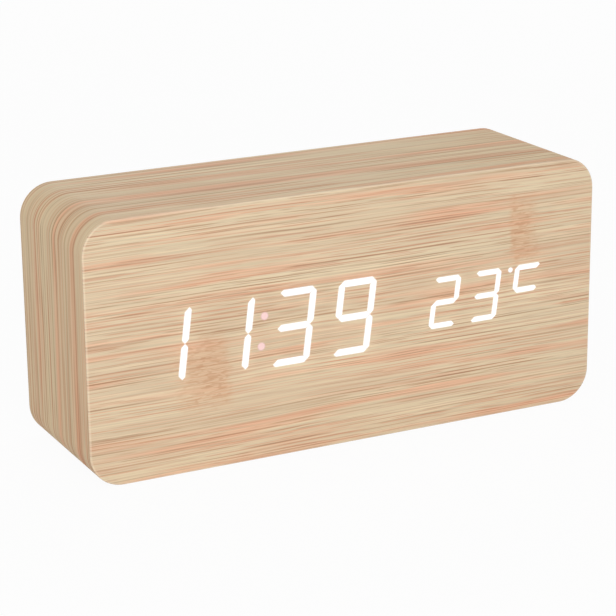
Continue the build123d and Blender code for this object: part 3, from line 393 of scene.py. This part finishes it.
def knuckle_mask(tree, place, split, edge_x, reach_x, center_z, reach_z):
    """1 in a knuckle, which starts at its joint at edge_x and fades out over its reach."""
    wobble = calc(tree, "MULTIPLY_ADD", noise(tree, place, WOBBLE_SCALE), WOBBLE_REACH, -WOBBLE_REACH / 2)
    rise = calc(tree, "SUBTRACT", split[2], center_z)
    upright_x = calc(tree, "MULTIPLY_ADD", rise, KNUCKLE_LEAN, split[0])
    share_x = calc(tree, "DIVIDE", calc(tree, "SUBTRACT", upright_x, edge_x), reach_x)
    step_x = calc(tree, "MULTIPLY_ADD", wobble, WOBBLE_ALONG, share_x)
    step_z = calc(tree, "ADD", calc(tree, "ABSOLUTE", calc(tree, "DIVIDE", rise, reach_z)), wobble)
    begun = soft_step(tree, step_x, *KNUCKLE_START)
    lasting = soft_step(tree, step_x, *KNUCKLE_END)
    level = soft_step(tree, step_z, *KNUCKLE_RISE)
    return calc(tree, "MULTIPLY", calc(tree, "MULTIPLY", begun, lasting), level)


bamboo_front, tree, shader, place = new_material("bamboo_front")
split = add_node(tree, "SeparateXYZ", {0: place}).outputs
left_knuckle, right_knuckle = [knuckle_mask(tree, place, split, *sizes) for sizes in KNUCKLES]
finish_bamboo(tree, shader, {
    "Along": split[0],
    "Across": split[2],
    "Knot": calc(tree, "MAXIMUM", left_knuckle, right_knuckle),
    "Glow": add_node(tree, "Attribute", attribute_name="glow").outputs["Fac"],
    # share of the painted highlight on the rounded front edge
    "EdgeHighlight": add_node(tree, "Attribute", attribute_name="edge_highlight").outputs["Fac"],
})
print("knuckles", len(KNUCKLES))

# %% Materials of the wrap and the base strip
WRAP_FINENESS = 0.5
WRAP_SHEET = 60.0
WRAP_WARMTH = 0.24
CASE_HALF_WIDTH = 75.0
CASE_HEIGHT = 70.0
CORNER_RADIUS = 9.0
REAR_Y = 22.5
RIM_FROM_Y = REAR_Y - 0.1


def wrap_feeds(tree, split, along_film):
    """Inputs of the film round the case: across it lies the depth, and on the rear rim the way in."""
    half_height = CASE_HEIGHT / 2
    from_middle = calc(tree, "ABSOLUTE", calc(tree, "SUBTRACT", split[2], half_height))
    past_x = calc(tree, "SUBTRACT", calc(tree, "ABSOLUTE", split[0]), CASE_HALF_WIDTH - CORNER_RADIUS)
    past_z = calc(tree, "SUBTRACT", from_middle, half_height - CORNER_RADIUS)
    in_corner = point(tree, calc(tree, "MAXIMUM", past_x, 0.0), calc(tree, "MAXIMUM", past_z, 0.0))
    reach = add_node(tree, "VectorMath", {0: in_corner}, operation="LENGTH").outputs["Value"]
    within = calc(tree, "MINIMUM", calc(tree, "MAXIMUM", past_x, past_z), 0.0)
    inset = calc(tree, "SUBTRACT", CORNER_RADIUS, calc(tree, "ADD", reach, within))
    on_rim = calc(tree, "GREATER_THAN", split[1], RIM_FROM_Y)
    depth = calc(tree, "MULTIPLY_ADD", inset, on_rim, split[1])
    return {
        "Along": calc(tree, "MULTIPLY", along_film, WRAP_FINENESS),
        "Across": calc(tree, "MULTIPLY", depth, WRAP_FINENESS),
        "Sheet": WRAP_SHEET,
        "Warmth": WRAP_WARMTH,
    }


bamboo_wrap, tree, shader, place = new_material("bamboo_wrap")
split = add_node(tree, "SeparateXYZ", {0: place}).outputs
rising = calc(tree, "ADD", split[0], split[2])
falling = calc(tree, "ADD", calc(tree, "SUBTRACT", split[0], split[2]), 2 * CASE_HEIGHT)
is_right = calc(tree, "GREATER_THAN", split[0], 0.0)
round_case = add_node(tree, "Mix", {0: is_right, 2: rising, 3: falling}).outputs[0]
finish_bamboo(tree, shader, wrap_feeds(tree, split, round_case))

bamboo_base, tree, shader, place = new_material("bamboo_base")
split = add_node(tree, "SeparateXYZ", {0: place}).outputs
finish_bamboo(tree, shader, wrap_feeds(tree, split, split[0]))
print("bamboo materials", [m.name for m in (bamboo_front, bamboo_wrap, bamboo_base)])

# %% [markdown]
# ## Moulded plastic, metal and board finishes
# Seen close, a moulded part has a fine spark-eroded skin, plated metal has faint rolling lines, and a circuit
# board has traces under its lacquer. Two groups hold what the plastics and the metals share.

# %% Skin groups
PLACE_INPUTS = {"X": 0.0, "Y": 0.0, "Z": 0.0}
SKIN_OUTPUTS = {"Shade": "Float", "Roughness": "Float", "Height": "Float"}
CLOUD_SCALE = 0.09
RUB_SCALE = 0.35
RUB_RANGE = (0.55, 0.75)
RUB_GLOSS = 0.35
SPOT_SCALE = 0.4
ROLLING_ALONG = 0.25
ROLLING_ACROSS = 6.0


def mean_of(tree, first, second):
    """The mean of two values."""
    return calc(tree, "MULTIPLY_ADD", first, 0.5, calc(tree, "MULTIPLY", second, 0.5))


skin_group, skin_in, skin_out = new_group("moulded_skin", dict(PLACE_INPUTS, Grain=3.0), SKIN_OUTPUTS)
skin_place = point(skin_group, skin_in["X"], skin_in["Y"], skin_in["Z"])
sparks = noise(skin_group, skin_place, skin_in["Grain"], detail=3.0, roughness=0.6)
clouds = noise(skin_group, skin_place, CLOUD_SCALE, detail=3.0)
rub_noise = noise(skin_group, skin_place, RUB_SCALE, detail=4.0, roughness=0.7)
rubbed = calc(skin_group, "MULTIPLY", soft_step(skin_group, rub_noise, *RUB_RANGE), RUB_GLOSS)
skin_group.links.new(mean_of(skin_group, clouds, sparks), skin_out["Shade"])
skin_group.links.new(calc(skin_group, "SUBTRACT", clouds, rubbed), skin_out["Roughness"])
skin_group.links.new(sparks, skin_out["Height"])

metal_group, metal_in, metal_out = new_group("plated_metal", PLACE_INPUTS, SKIN_OUTPUTS)
metal_place = point(metal_group, metal_in["X"], metal_in["Y"], metal_in["Z"])
rolled_place = point(
    metal_group,
    calc(metal_group, "MULTIPLY", metal_in["X"], ROLLING_ALONG),
    calc(metal_group, "MULTIPLY", metal_in["Y"], ROLLING_ACROSS),
    calc(metal_group, "MULTIPLY", metal_in["Z"], ROLLING_ACROSS),
)
lines = noise(metal_group, rolled_place, detail=3.0)
spots = noise(metal_group, metal_place, SPOT_SCALE, detail=4.0, roughness=0.65)
metal_group.links.new(spots, metal_out["Shade"])
metal_group.links.new(mean_of(metal_group, lines, spots), metal_out["Roughness"])
metal_group.links.new(lines, metal_out["Height"])
print("skin groups", skin_group.name, metal_group.name)

# %% Plastic and metal materials
SKIN_LOW = 0.2
SKIN_HIGH = 0.8
METAL_BUMP = 0.004
METAL_EDGE = 0.08


def spread(tree, place):
    """The place on the object as three feeds for a group."""
    split = add_node(tree, "SeparateXYZ", {0: place}).outputs
    return {"X": split[0], "Y": split[1], "Z": split[2]}


def dress_skin(tree, shader, skin, dark, light, rough_low, rough_high):
    """Colour and roughness of a shader from a skin group."""
    tree.links.new(blend(tree, skin["Shade"], dark, light), shader.inputs["Base Color"])
    feeds = {0: skin["Roughness"], 1: SKIN_LOW, 2: SKIN_HIGH, 3: rough_low, 4: rough_high}
    tree.links.new(add_node(tree, "MapRange", feeds).outputs[0], shader.inputs["Roughness"])


def plastic(name, dark, light, rough_low, rough_high, grain=3.0, relief=0.02, edge=0.15):
    """A moulded material whose colour and gloss vary a little over the surface."""
    material, tree, shader, place = new_material(name)
    skin = place_group(tree, skin_group, dict(spread(tree, place), Grain=grain))
    dress_skin(tree, shader, skin, dark, light, rough_low, rough_high)
    add_bump(tree, shader, skin["Height"], relief, edge=edge)
    return material


def plated(name, dark, light, rough_low, rough_high):
    """A plated metal with faint rolling lines."""
    material, tree, shader, place = new_material(name)
    skin = place_group(tree, metal_group, spread(tree, place))
    shader.inputs["Metallic"].default_value = 1.0
    dress_skin(tree, shader, skin, dark, light, rough_low, rough_high)
    add_bump(tree, shader, skin["Height"], METAL_BUMP, edge=METAL_EDGE)
    return material


finishes = {
    "cover_black": plastic("cover_black", tone(30, 30, 32), tone(47, 47, 49), 0.48, 0.7, 2.6, 0.05, 0.3),
    "button_black": plastic("button_black", tone(36, 36, 38), tone(52, 52, 54), 0.28, 0.46, 5.0, 0.008, 0.3),
    "plunger_black": plastic("plunger_black", tone(38, 38, 38), tone(56, 56, 56), 0.4, 0.6),
    "chip_black": plastic("chip_black", tone(32, 32, 33), tone(52, 52, 52), 0.5, 0.7, 6.0, 0.01),
    "resistor_black": plastic("resistor_black", tone(44, 44, 48), tone(62, 62, 68), 0.3, 0.5, 4.0, 0.005),
    "mask_white": plastic("mask_white", tone(226, 226, 222), tone(240, 240, 236), 0.45, 0.65),
    "diffuser_white": plastic("diffuser_white", tone(226, 226, 226), tone(240, 240, 240), 0.5, 0.7),
    "fill_resin": plastic("fill_resin", tone(236, 233, 224), tone(246, 244, 236), 0.15, 0.35),
    "socket_white": plastic("socket_white", tone(218, 215, 204), tone(232, 229, 220), 0.4, 0.6),
    "lamp_yellow": plastic("lamp_yellow", tone(226, 206, 118), tone(244, 230, 160), 0.2, 0.4),
    "ribbon_grey": plastic("ribbon_grey", tone(182, 182, 186), tone(206, 206, 210), 0.4, 0.6),
    "lead_red": plastic("lead_red", tone(186, 28, 26), tone(208, 42, 38), 0.3, 0.5),
    "lead_black": plastic("lead_black", tone(34, 34, 34), tone(52, 52, 52), 0.3, 0.5),
    "bead_black": plastic("bead_black", tone(30, 32, 36), tone(50, 52, 58), 0.12, 0.3, 2.0, 0.01),
    "steel": plated("steel", tone(170, 170, 172), tone(206, 206, 206), 0.22, 0.42),
    "nickel": plated("nickel", tone(186, 183, 176), tone(216, 213, 206), 0.16, 0.36),
    "can_aluminium": plated("can_aluminium", tone(196, 196, 198), tone(222, 222, 222), 0.2, 0.4),
}
print("finishes", len(finishes))

# %% Fibreboard and circuit boards
CHIP_BUMP = 0.06
FLECK_RANGE = (0.6, 0.75)
FLECK_SHARE = 0.5
TRACES = {"Scale": 1.0, "Mortar Size": 0.16, "Brick Width": 9.0, "Row Height": 1.6}
TRACE_SHIFT = 0.37
HAZE_SHARE = 0.4
LACQUER_ROUGHNESS = (0.25, 0.2)

fibreboard, tree, shader, place = new_material("board_core")
chips = noise(tree, place, scale=1.6, detail=5.0, roughness=0.7)
flecks = soft_step(tree, noise(tree, place, scale=4.0), *FLECK_RANGE)
brown = blend(tree, chips, tone(140, 104, 70), tone(186, 150, 110))
flecked = blend(tree, calc(tree, "MULTIPLY", flecks, FLECK_SHARE), brown, tone(104, 74, 48))
tree.links.new(flecked, shader.inputs["Base Color"])
shader.inputs["Roughness"].default_value = 0.85
add_bump(tree, shader, chips, CHIP_BUMP)
finishes["board_core"] = fibreboard

lacquer, tree, shader, place = new_material("board_green")
split = add_node(tree, "SeparateXYZ", {0: place}).outputs
greens = {"Color1": tone(24, 104, 58), "Color2": tone(18, 88, 48), "Mortar": tone(44, 138, 84)}
board_place = point(tree, split[0], split[2])
feeds = {"Vector": board_place, **greens, **TRACES}
traced = add_node(tree, "TexBrick", feeds, offset=TRACE_SHIFT).outputs[0]
haze = noise(tree, place, scale=0.2, detail=3.0)
hazed = blend(tree, calc(tree, "MULTIPLY", haze, HAZE_SHARE), traced, tone(14, 72, 40))
tree.links.new(hazed, shader.inputs["Base Color"])
least, more = LACQUER_ROUGHNESS
tree.links.new(calc(tree, "MULTIPLY_ADD", haze, more, least), shader.inputs["Roughness"])
finishes["board_green"] = lacquer
print("boards", fibreboard.name, lacquer.name)

# %% Sleeves of the cells
CAP_BAND = 10.5
CELL_RADIUS = 5.25
END_FACING = 0.6
SLEEVE_BUMP = 0.02
SLEEVE_ROUGHNESS = (0.22, 0.15)

cell_low, cell_high = [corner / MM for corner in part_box("aaa_cells")]
sleeve, tree, shader, place = new_material("cell_jacket")
split = add_node(tree, "SeparateXYZ", {0: place}).outputs
facing = add_node(tree, "SeparateXYZ", {0: add_node(tree, "NewGeometry").outputs["Normal"]}).outputs[0]
bare = calc(tree, "GREATER_THAN", calc(tree, "ABSOLUTE", facing), END_FACING)
off_middle = calc(tree, "ABSOLUTE", calc(tree, "SUBTRACT", split[2], (cell_low.z + cell_high.z) / 2))
is_middle = calc(tree, "LESS_THAN", off_middle, CELL_RADIUS)
near_left = calc(tree, "LESS_THAN", split[0], cell_low.x + CAP_BAND)
near_right = calc(tree, "GREATER_THAN", split[0], cell_high.x - CAP_BAND)
band = add_node(tree, "Mix", {0: is_middle, 2: near_left, 3: near_right}).outputs[0]
haze = noise(tree, place, scale=0.5, detail=3.0)
jacket = blend(tree, haze, tone(62, 78, 104), tone(78, 96, 124))
pale_band = blend(tree, haze, tone(206, 208, 208), tone(224, 226, 226))
metal_end = blend(tree, haze, tone(190, 188, 182), tone(214, 212, 206))
colored = blend(tree, bare, blend(tree, band, jacket, pale_band), metal_end)
tree.links.new(colored, shader.inputs["Base Color"])
tree.links.new(bare, shader.inputs["Metallic"])
least, more = SLEEVE_ROUGHNESS
tree.links.new(calc(tree, "MULTIPLY_ADD", haze, more, least), shader.inputs["Roughness"])
add_bump(tree, shader, haze, SLEEVE_BUMP)
finishes["cell_jacket"] = sleeve
print("all slots have a finish:", sorted(finishes))

# %% Give every solid its finish
bamboo_by_node = {"front_veneer": bamboo_front, "wrap_veneer": bamboo_wrap, "base_veneer": bamboo_base}
for name, solid in nodes.items():
    slot_name = solid.data.materials[0].name if solid.data.materials else ""
    finish = bamboo_by_node.get(name) or finishes[slot_name.split(".")[0]]
    solid.data.materials.clear()
    solid.data.materials.append(finish)
print("solids dressed", len(nodes))

# %% [markdown]
# ## The front film
# The film on the front is half a millimetre thick, has the case's round corners, and is rounded over along
# its front edge, where a paler colour is painted on as a highlight of that edge catching the light. A plane
# with bevelled corners gives the outline, an extrusion the thickness, and a second bevel the rounded edge.
# Cuts across the display give it enough points to carry the faint light that spreads in the film around the
# lit bars.

# %% Sizes of the film, and helpers for modelling
FRONT_Y = -22.5
FILM_THICKNESS = 0.5
EDGE_EASE = 0.32
EDGE_FADE = 0.25
GLOW_STEP = 1.25
DISPLAY_SPAN = (-66.0, 66.0)
DISPLAY_RISE = (18.0, 52.0)
MIDDLE_Z = CASE_HEIGHT / 2
SAME_PLACE = 0.01
SAME_WAY = 0.999


def add_piece(name):
    """Name the newest object and return it."""
    piece = bpy.context.object
    piece.name = name
    piece.data.name = name
    return piece


def settle():
    """Put the place, turn and size of the newest object into its mesh."""
    bpy.ops.object.transform_apply(location=True, rotation=True, scale=True)


def pick(piece, kind, wanted):
    """Select the vertices, edges or polygons that pass a test, and leave edit mode open."""
    bpy.ops.object.mode_set(mode="EDIT")
    bpy.ops.mesh.select_mode(type={"vertices": "VERT", "edges": "EDGE", "polygons": "FACE"}[kind])
    bpy.ops.mesh.select_all(action="DESELECT")
    bpy.ops.object.mode_set(mode="OBJECT")
    for part in getattr(piece.data, kind):
        part.select = wanted(part)
    bpy.ops.object.mode_set(mode="EDIT")


def middle_of(piece, part):
    """Mean place of a part's corners, in millimetres."""
    corners = [piece.data.vertices[i].co for i in part.vertices]
    return sum(corners, Vector()) / len(corners) / MM


print("film in mm", 2 * CASE_HALF_WIDTH, CASE_HEIGHT, FILM_THICKNESS)

# %% Front film
bpy.ops.object.select_all(action="DESELECT")
bpy.ops.mesh.primitive_plane_add(
    size=1.0,
    location=(0, FRONT_Y * MM, MIDDLE_Z * MM),
    rotation=(math.pi / 2, 0, 0),
)
front_film = add_piece("front_film")
front_film.scale = (2 * CASE_HALF_WIDTH * MM, CASE_HEIGHT * MM, 1)
settle()
bpy.ops.object.mode_set(mode="EDIT")
bpy.ops.mesh.select_all(action="SELECT")
bpy.ops.mesh.bevel(offset=CORNER_RADIUS * MM, segments=18, affect="VERTICES")
bpy.ops.mesh.select_all(action="SELECT")
bpy.ops.mesh.extrude_region_move(TRANSFORM_OT_translate={"value": (0, FILM_THICKNESS * MM, 0)})
bpy.ops.mesh.select_all(action="SELECT")
bpy.ops.mesh.normals_make_consistent(inside=False)
pick(front_film, "edges", lambda edge: abs(middle_of(front_film, edge).y - FRONT_Y) < SAME_PLACE)
bpy.ops.mesh.bevel(offset=EDGE_EASE * MM, segments=4, affect="EDGES")
pick(front_film, "polygons", lambda face: face.normal.y < -SAME_WAY)
bpy.ops.mesh.inset(thickness=EDGE_FADE * MM)
bpy.ops.object.mode_set(mode="OBJECT")
print("front film faces", len(front_film.data.polygons))

# %% Painted highlight on the film's rounded front edge, and cuts across the display
face_corners = {i for face in front_film.data.polygons if face.select for i in face.vertices}
# 1 on the rounded front edge, which gets a painted highlight; 0 on the flat face inside the inset
edge_highlight = front_film.data.attributes.new("edge_highlight", "FLOAT", "POINT")
for i, value in enumerate(edge_highlight.data):
    value.value = 0.0 if i in face_corners else 1.0
bpy.ops.object.mode_set(mode="EDIT")
for across_cuts, (start, end) in (((1, 0, 0), DISPLAY_SPAN), ((0, 0, 1), DISPLAY_RISE)):
    for i in range(int((end - start) / GLOW_STEP) + 1):
        cut_place = Vector(across_cuts) * (start + i * GLOW_STEP) * MM
        bpy.ops.mesh.select_all(action="SELECT")
        bpy.ops.mesh.bisect(plane_co=cut_place, plane_no=across_cuts)
bpy.ops.object.mode_set(mode="OBJECT")
bpy.ops.object.shade_smooth_by_angle(angle=math.radians(30))
front_film.data.materials.append(bamboo_front)
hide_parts("front_veneer")
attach(front_film, "case")
print("front film faces with cuts", len(front_film.data.polygons))

# %% [markdown]
# ## The lit digits
# Each digit has seven bars, called a to g from the top round to the middle one. The light comes from cells
# behind the film, so a lit bar has a white core and a soft rim where the film spreads the light. Every bar is
# a thin plate set into the film's face: an outline with an inset ring, extruded backwards, whose see-through
# rim fades from the ring's inner edge to its outer one. Plates that overlap lie on layers a few thousandths
# of a millimetre apart.

# %% Outlines of the bars
SLANT = math.tan(math.radians(7.5))
BAR_TIP_SHARE = 0.4
BAR_JOIN = 0.42
RIM_SHARE = 0.2
ROUNDING_SHARE = 0.14
TIME_DIGIT = {"width": 11.3, "height": 20.6, "bar": 1.9}
TIME_SPREAD = 0.22
TEMPERATURE_DIGIT = {"width": 8.5, "height": 14.3, "bar": 1.6}
TEMPERATURE_SPREAD = 0.14
# Each digit: x of its middle, its sizes, how far its light spreads, and its lit bars
LIT_DIGITS = (
    (-52.9, TIME_DIGIT, TIME_SPREAD, "bc"),
    (-35.1, TIME_DIGIT, TIME_SPREAD, "bc"),
    (-17.3, TIME_DIGIT, TIME_SPREAD, "abcdg"),
    (0.5, TIME_DIGIT, TIME_SPREAD, "abcdfg"),
    (28.2, TEMPERATURE_DIGIT, TEMPERATURE_SPREAD, "abdeg"),
    (40.95, TEMPERATURE_DIGIT, TEMPERATURE_SPREAD, "abcdg"),
    (53.7, TEMPERATURE_DIGIT, TEMPERATURE_SPREAD, "afg"),
)


def bar_outlines(width, height, bar, gap):
    """Outlines of the bars of an upright digit centred on the origin, by letter."""
    side = width / 2
    top = height / 2
    tip = bar * BAR_TIP_SHARE
    miter = gap / math.sqrt(2)
    top_end = [
        (-side + bar + miter, top - bar),
        (-side + tip + miter, top - tip),
        (-side + 2 * tip + miter, top),
    ]
    middle_end = [
        (-side + bar + miter, -bar / 2),
        (-side + bar / 2 + miter, 0),
        (-side + bar + miter, bar / 2),
    ]
    upper_left = [
        (-side + tip, top - tip - miter),
        (-side + bar, top - bar - miter),
        (-side + bar, bar / 2 + miter),
        (-side + bar / 2, miter),
        (-side, bar / 2 + miter),
        (-side, top - 2 * tip - miter),
    ]
    top_bar = top_end + [(-x, z) for x, z in reversed(top_end)]
    return {
        "a": top_bar,
        "b": [(-x, z) for x, z in upper_left],
        "c": [(-x, -z) for x, z in upper_left],
        "d": [(x, -z) for x, z in top_bar],
        "e": [(x, -z) for x, z in upper_left],
        "f": upper_left,
        "g": middle_end + [(-x, z) for x, z in reversed(middle_end)],
    }


def on_front(center_x, x, z):
    """Lean a point of an upright digit and set it on the front, in millimetres."""
    return (center_x + x + SLANT * z, MIDDLE_Z + z)


lit_outlines = []
lit_bars = []
for center_x, digit, spread_by, letters in LIT_DIGITS:
    grown = {size: value + 2 * spread_by for size, value in digit.items()}
    outlines = bar_outlines(gap=-BAR_JOIN, **grown)
    lit_outlines += [[on_front(center_x, x, z) for x, z in outlines[letter]] for letter in letters]
    lit_bars += [grown["bar"]] * len(letters)
print("lit bars", len(lit_outlines))

# %% Plates of light
LIGHT_LIFT = 0.02
LIGHT_SINK = 0.03
LIGHT_STEP = 0.004
LIGHT_LAYERS = 6
SPECKLE_SCALE = 3.0
SPECKLE_GAIN = 0.12


def lit_patch(outline, rim, rounding=0.0, layer=0):
    """A thin plate of light with that outline, set into the film's face."""
    bpy.ops.object.select_all(action="DESELECT")
    bpy.ops.mesh.primitive_circle_add(vertices=len(outline), fill_type="NGON")
    patch = bpy.context.object
    for corner, (x, z) in zip(patch.data.vertices, outline):
        corner.co = Vector((x, FRONT_Y - LIGHT_LIFT - layer * LIGHT_STEP, z)) * MM
    thickness = LIGHT_LIFT + LIGHT_SINK + 2 * layer * LIGHT_STEP
    bpy.ops.object.mode_set(mode="EDIT")
    bpy.ops.mesh.select_all(action="SELECT")
    if rounding:
        bpy.ops.mesh.bevel(offset=rounding * MM, segments=3, affect="VERTICES", clamp_overlap=True)
        bpy.ops.mesh.select_all(action="SELECT")
    bpy.ops.mesh.inset(thickness=rim * MM)
    bpy.ops.mesh.select_all(action="SELECT")
    bpy.ops.mesh.extrude_region_move(TRANSFORM_OT_translate={"value": (0, thickness * MM, 0)})
    bpy.ops.mesh.select_all(action="SELECT")
    bpy.ops.mesh.normals_make_consistent(inside=False)
    bpy.ops.object.mode_set(mode="OBJECT")
    light = patch.data.attributes.new("light", "FLOAT", "POINT")
    most_corners = max(len(face.vertices) for face in patch.data.polygons)
    for face in patch.data.polygons:
        if len(face.vertices) == most_corners:
            for i in face.vertices:
                light.data[i].value = 1.0
    return patch


def round_outline(center, radius, count=24):
    """Corners of a disc."""
    turns = [2 * math.pi * i / count for i in range(count)]
    return [(center[0] + radius * math.cos(t), center[1] + radius * math.sin(t)) for t in turns]


def join_patches(patches, name, material):
    """One piece from several patches."""
    bpy.ops.object.select_all(action="DESELECT")
    for patch in patches:
        patch.select_set(True)
    bpy.context.view_layer.objects.active = patches[0]
    bpy.ops.object.join()
    piece = add_piece(name)
    settle()
    piece.data.materials.clear()
    piece.data.materials.append(material)
    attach(piece, "case")
    return piece


def light_material(name, color, strength):
    """Light that has come through the film, fading out towards the rim."""
    material, tree, shader, place = new_material(name)
    light = add_node(tree, "Attribute", attribute_name="light").outputs["Fac"]
    tree.links.new(soft_step(tree, light, 0.0, 1.0), shader.inputs["Alpha"])
    spots = noise(tree, place, SPECKLE_SCALE)
    speckle = calc(tree, "MULTIPLY_ADD", spots, SPECKLE_GAIN, 1 - SPECKLE_GAIN / 2)
    speckled = blend(tree, 1.0, color, grey(tree, speckle), "MULTIPLY")
    tree.links.new(speckled, shader.inputs["Emission Color"])
    shader.inputs["Emission Strength"].default_value = strength
    shader.inputs["Base Color"].default_value = (0.1, 0.1, 0.1, 1.0)
    shader.inputs["Roughness"].default_value = 0.6
    shader.inputs["Specular IOR Level"].default_value = 0.1
    return material


white_light = light_material("digit_light", color=tone(255, 255, 255), strength=1.05)
dim_light = light_material("colon_light", color=tone(238, 200, 196), strength=1.0)
print("light materials", white_light.name, dim_light.name)

# %% Lit bars and dots
DOT_RIM = 0.5
COLON_RADIUS = 1.1
COLON_SPACING = 8.1
DEGREE_RADIUS = 0.95
DEGREE_PLACE = (48.8, 41.05)

patches = []
for outline, bar in zip(lit_outlines, lit_bars):
    patches.append(lit_patch(outline, bar * RIM_SHARE, bar * ROUNDING_SHARE, len(patches) % LIGHT_LAYERS))
patches.append(lit_patch(round_outline(DEGREE_PLACE, DEGREE_RADIUS), DOT_RIM))
lit_digits = join_patches(patches, "lit_digits", white_light)
colon_x = (LIT_DIGITS[1][0] + LIT_DIGITS[2][0]) / 2
colon_places = [on_front(colon_x, 0, sign * COLON_SPACING / 2) for sign in (1, -1)]
colon_patches = [lit_patch(round_outline(spot, COLON_RADIUS + TIME_SPREAD), DOT_RIM) for spot in colon_places]
lit_colon = join_patches(colon_patches, "lit_colon", dim_light)
print("lit faces", len(lit_digits.data.polygons), len(lit_colon.data.polygons))

# %% Light in the film around the lit bars
GLOW_REACH = 3.0
GLOW_SPOKES = (0.0, 0.45, 0.9)
light_points = []
for outline in lit_outlines:
    ends = [Vector(corner) for corner in outline]
    middle = sum(ends, Vector((0, 0))) / len(ends)
    light_points += [middle + (corner - middle) * share for corner in ends for share in GLOW_SPOKES]
glow = front_film.data.attributes.new("glow", "FLOAT", "POINT")
for vertex, value in zip(front_film.data.vertices, glow.data):
    spot = Vector((vertex.co.x, vertex.co.z)) / MM
    gap = min((spot - light_point).length for light_point in light_points)
    value.value = math.exp(-(gap / GLOW_REACH) ** 2)
print("glow points", len(light_points))

# %% [markdown]
# ## Marks on the buttons
# The three buttons at the rear set, step up and step down. On clocks of this kind each cap carries a small
# mark, so that fingers and eyes can tell them apart. A thin prism does for the two arrows and a flat ring for
# the third. Each mark rides on its own button.

# %% Button marks
MARK_HEIGHT = 0.06
MARK_SIZE = 1.5
MARK_SUNK_SHARE = 0.5
RING_WIDTH = 0.45
mark_paint = plastic("mark_paint", tone(196, 196, 194), tone(216, 216, 214), 0.5, 0.7, 6.0, 0.004, 0.0)


def mark_piece(name, corners, turn_by, hollow):
    """A raised mark on the middle of a button's top."""
    low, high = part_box(name + "_button_cap")
    center = (low + high) / 2
    bpy.ops.object.select_all(action="DESELECT")
    bpy.ops.mesh.primitive_circle_add(
        vertices=corners,
        radius=MARK_SIZE * MM,
        fill_type="NGON",
        location=(center.x, high.y - MARK_SUNK_SHARE * MARK_HEIGHT * MM, center.z),
        rotation=(math.pi / 2, turn_by, 0),
    )
    mark = add_piece(name + "_mark")
    settle()
    bpy.ops.object.mode_set(mode="EDIT")
    bpy.ops.mesh.select_all(action="SELECT")
    if hollow:
        bpy.ops.mesh.inset(thickness=RING_WIDTH * MM)
        bpy.ops.mesh.delete(type="FACE")
        bpy.ops.mesh.select_all(action="SELECT")
    bpy.ops.mesh.extrude_region_move(TRANSFORM_OT_translate={"value": (0, MARK_HEIGHT * MM, 0)})
    bpy.ops.mesh.select_all(action="SELECT")
    bpy.ops.mesh.normals_make_consistent(inside=False)
    bpy.ops.object.mode_set(mode="OBJECT")
    mark.data.materials.clear()
    mark.data.materials.append(mark_paint)
    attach(mark, name + "_button")
    return mark


up_mark = mark_piece("up", corners=3, turn_by=0.0, hollow=False)
down_mark = mark_piece("down", corners=3, turn_by=math.pi, hollow=False)
set_mark = mark_piece("set", corners=32, turn_by=0.0, hollow=True)
print("marks", [len(mark.data.polygons) for mark in (up_mark, down_mark, set_mark)])

# %% [markdown]
# ## Floor and light
# A white floor and an even studio light. The key light stands on the front left and rather near, so the front
# is the brightest face and gets a little darker to the right. The top is darker, and the left side darkest.
# The lamps at the right and the rear light the sides that this view doesn't show.

# %% Floor
FLOOR_SIZE = 8.0
FLOOR_GREY = (0.8, 0.8, 0.8, 1.0)
FLOOR_WHITE_SHARE = 0.95
WHITE = (1.0, 1.0, 1.0, 1.0)


def seen_directly(tree):
    """1 for what the camera sees, straight, in gloss or through glass; 0 for light on the clock."""
    rays = add_node(tree, "LightPath").outputs
    beyond = calc(tree, "MAXIMUM", rays["Is Glossy Ray"], rays["Is Transmission Ray"])
    return calc(tree, "MAXIMUM", rays["Is Camera Ray"], beyond)


bpy.ops.object.select_all(action="DESELECT")
bpy.ops.mesh.primitive_plane_add(size=FLOOR_SIZE)
floor = bpy.context.object
floor.name = "studio_floor"
pale, tree, shader, place = new_material("studio_floor")
shader.inputs["Base Color"].default_value = FLOOR_GREY
shader.inputs["Roughness"].default_value = 0.9
shader.inputs["Specular IOR Level"].default_value = 0.0
white = add_node(tree, "Emission", {"Color": WHITE, "Strength": 1.0})
share = calc(tree, "MULTIPLY", seen_directly(tree), FLOOR_WHITE_SHARE)
mixed = add_node(tree, "MixShader", {0: share, 1: shader.outputs[0], 2: white.outputs[0]})
tree.links.new(mixed.outputs[0], tree.nodes["Material Output"].inputs["Surface"])
floor.data.materials.append(pale)
print("floor", floor.name)

# %% World and lamps
AIR_LIGHT = 0.32
AIR_SEEN_LIFT = 0.64
CLOCK_MIDDLE = Vector((0.0, 0.0, 0.035))
# Each lamp: name, place, size of its square, and power
LAMPS = (
    ("key_box", (-0.32, -0.85, 0.3), 0.7, 5.5),
    ("top_box", (-0.1, 0.2, 1.5), 1.2, 1.4),
    ("side_box", (-1.25, -0.3, 0.85), 1.0, 3.6),
    ("right_box", (1.3, 0.2, 0.3), 0.5, 5.0),
    ("rear_box", (0.4, 1.5, 0.6), 1.0, 6.8),
)

world = bpy.data.worlds.new("studio_air")
bpy.context.scene.world = world
world.use_nodes = True
tree = world.node_tree
air = tree.nodes["Background"]
air.inputs["Color"].default_value = WHITE
lift = calc(tree, "MULTIPLY_ADD", seen_directly(tree), AIR_SEEN_LIFT, AIR_LIGHT)
tree.links.new(lift, air.inputs["Strength"])
for name, spot, size, power in LAMPS:
    bpy.ops.object.light_add(type="AREA", location=spot)
    lamp = bpy.context.object
    lamp.name = name
    lamp.data.size = size
    lamp.data.energy = power
    lamp.visible_camera = False
    lamp.rotation_euler = (CLOCK_MIDDLE - Vector(spot)).to_track_quat("-Z", "Y").to_euler()
print("lamps", len(LAMPS))
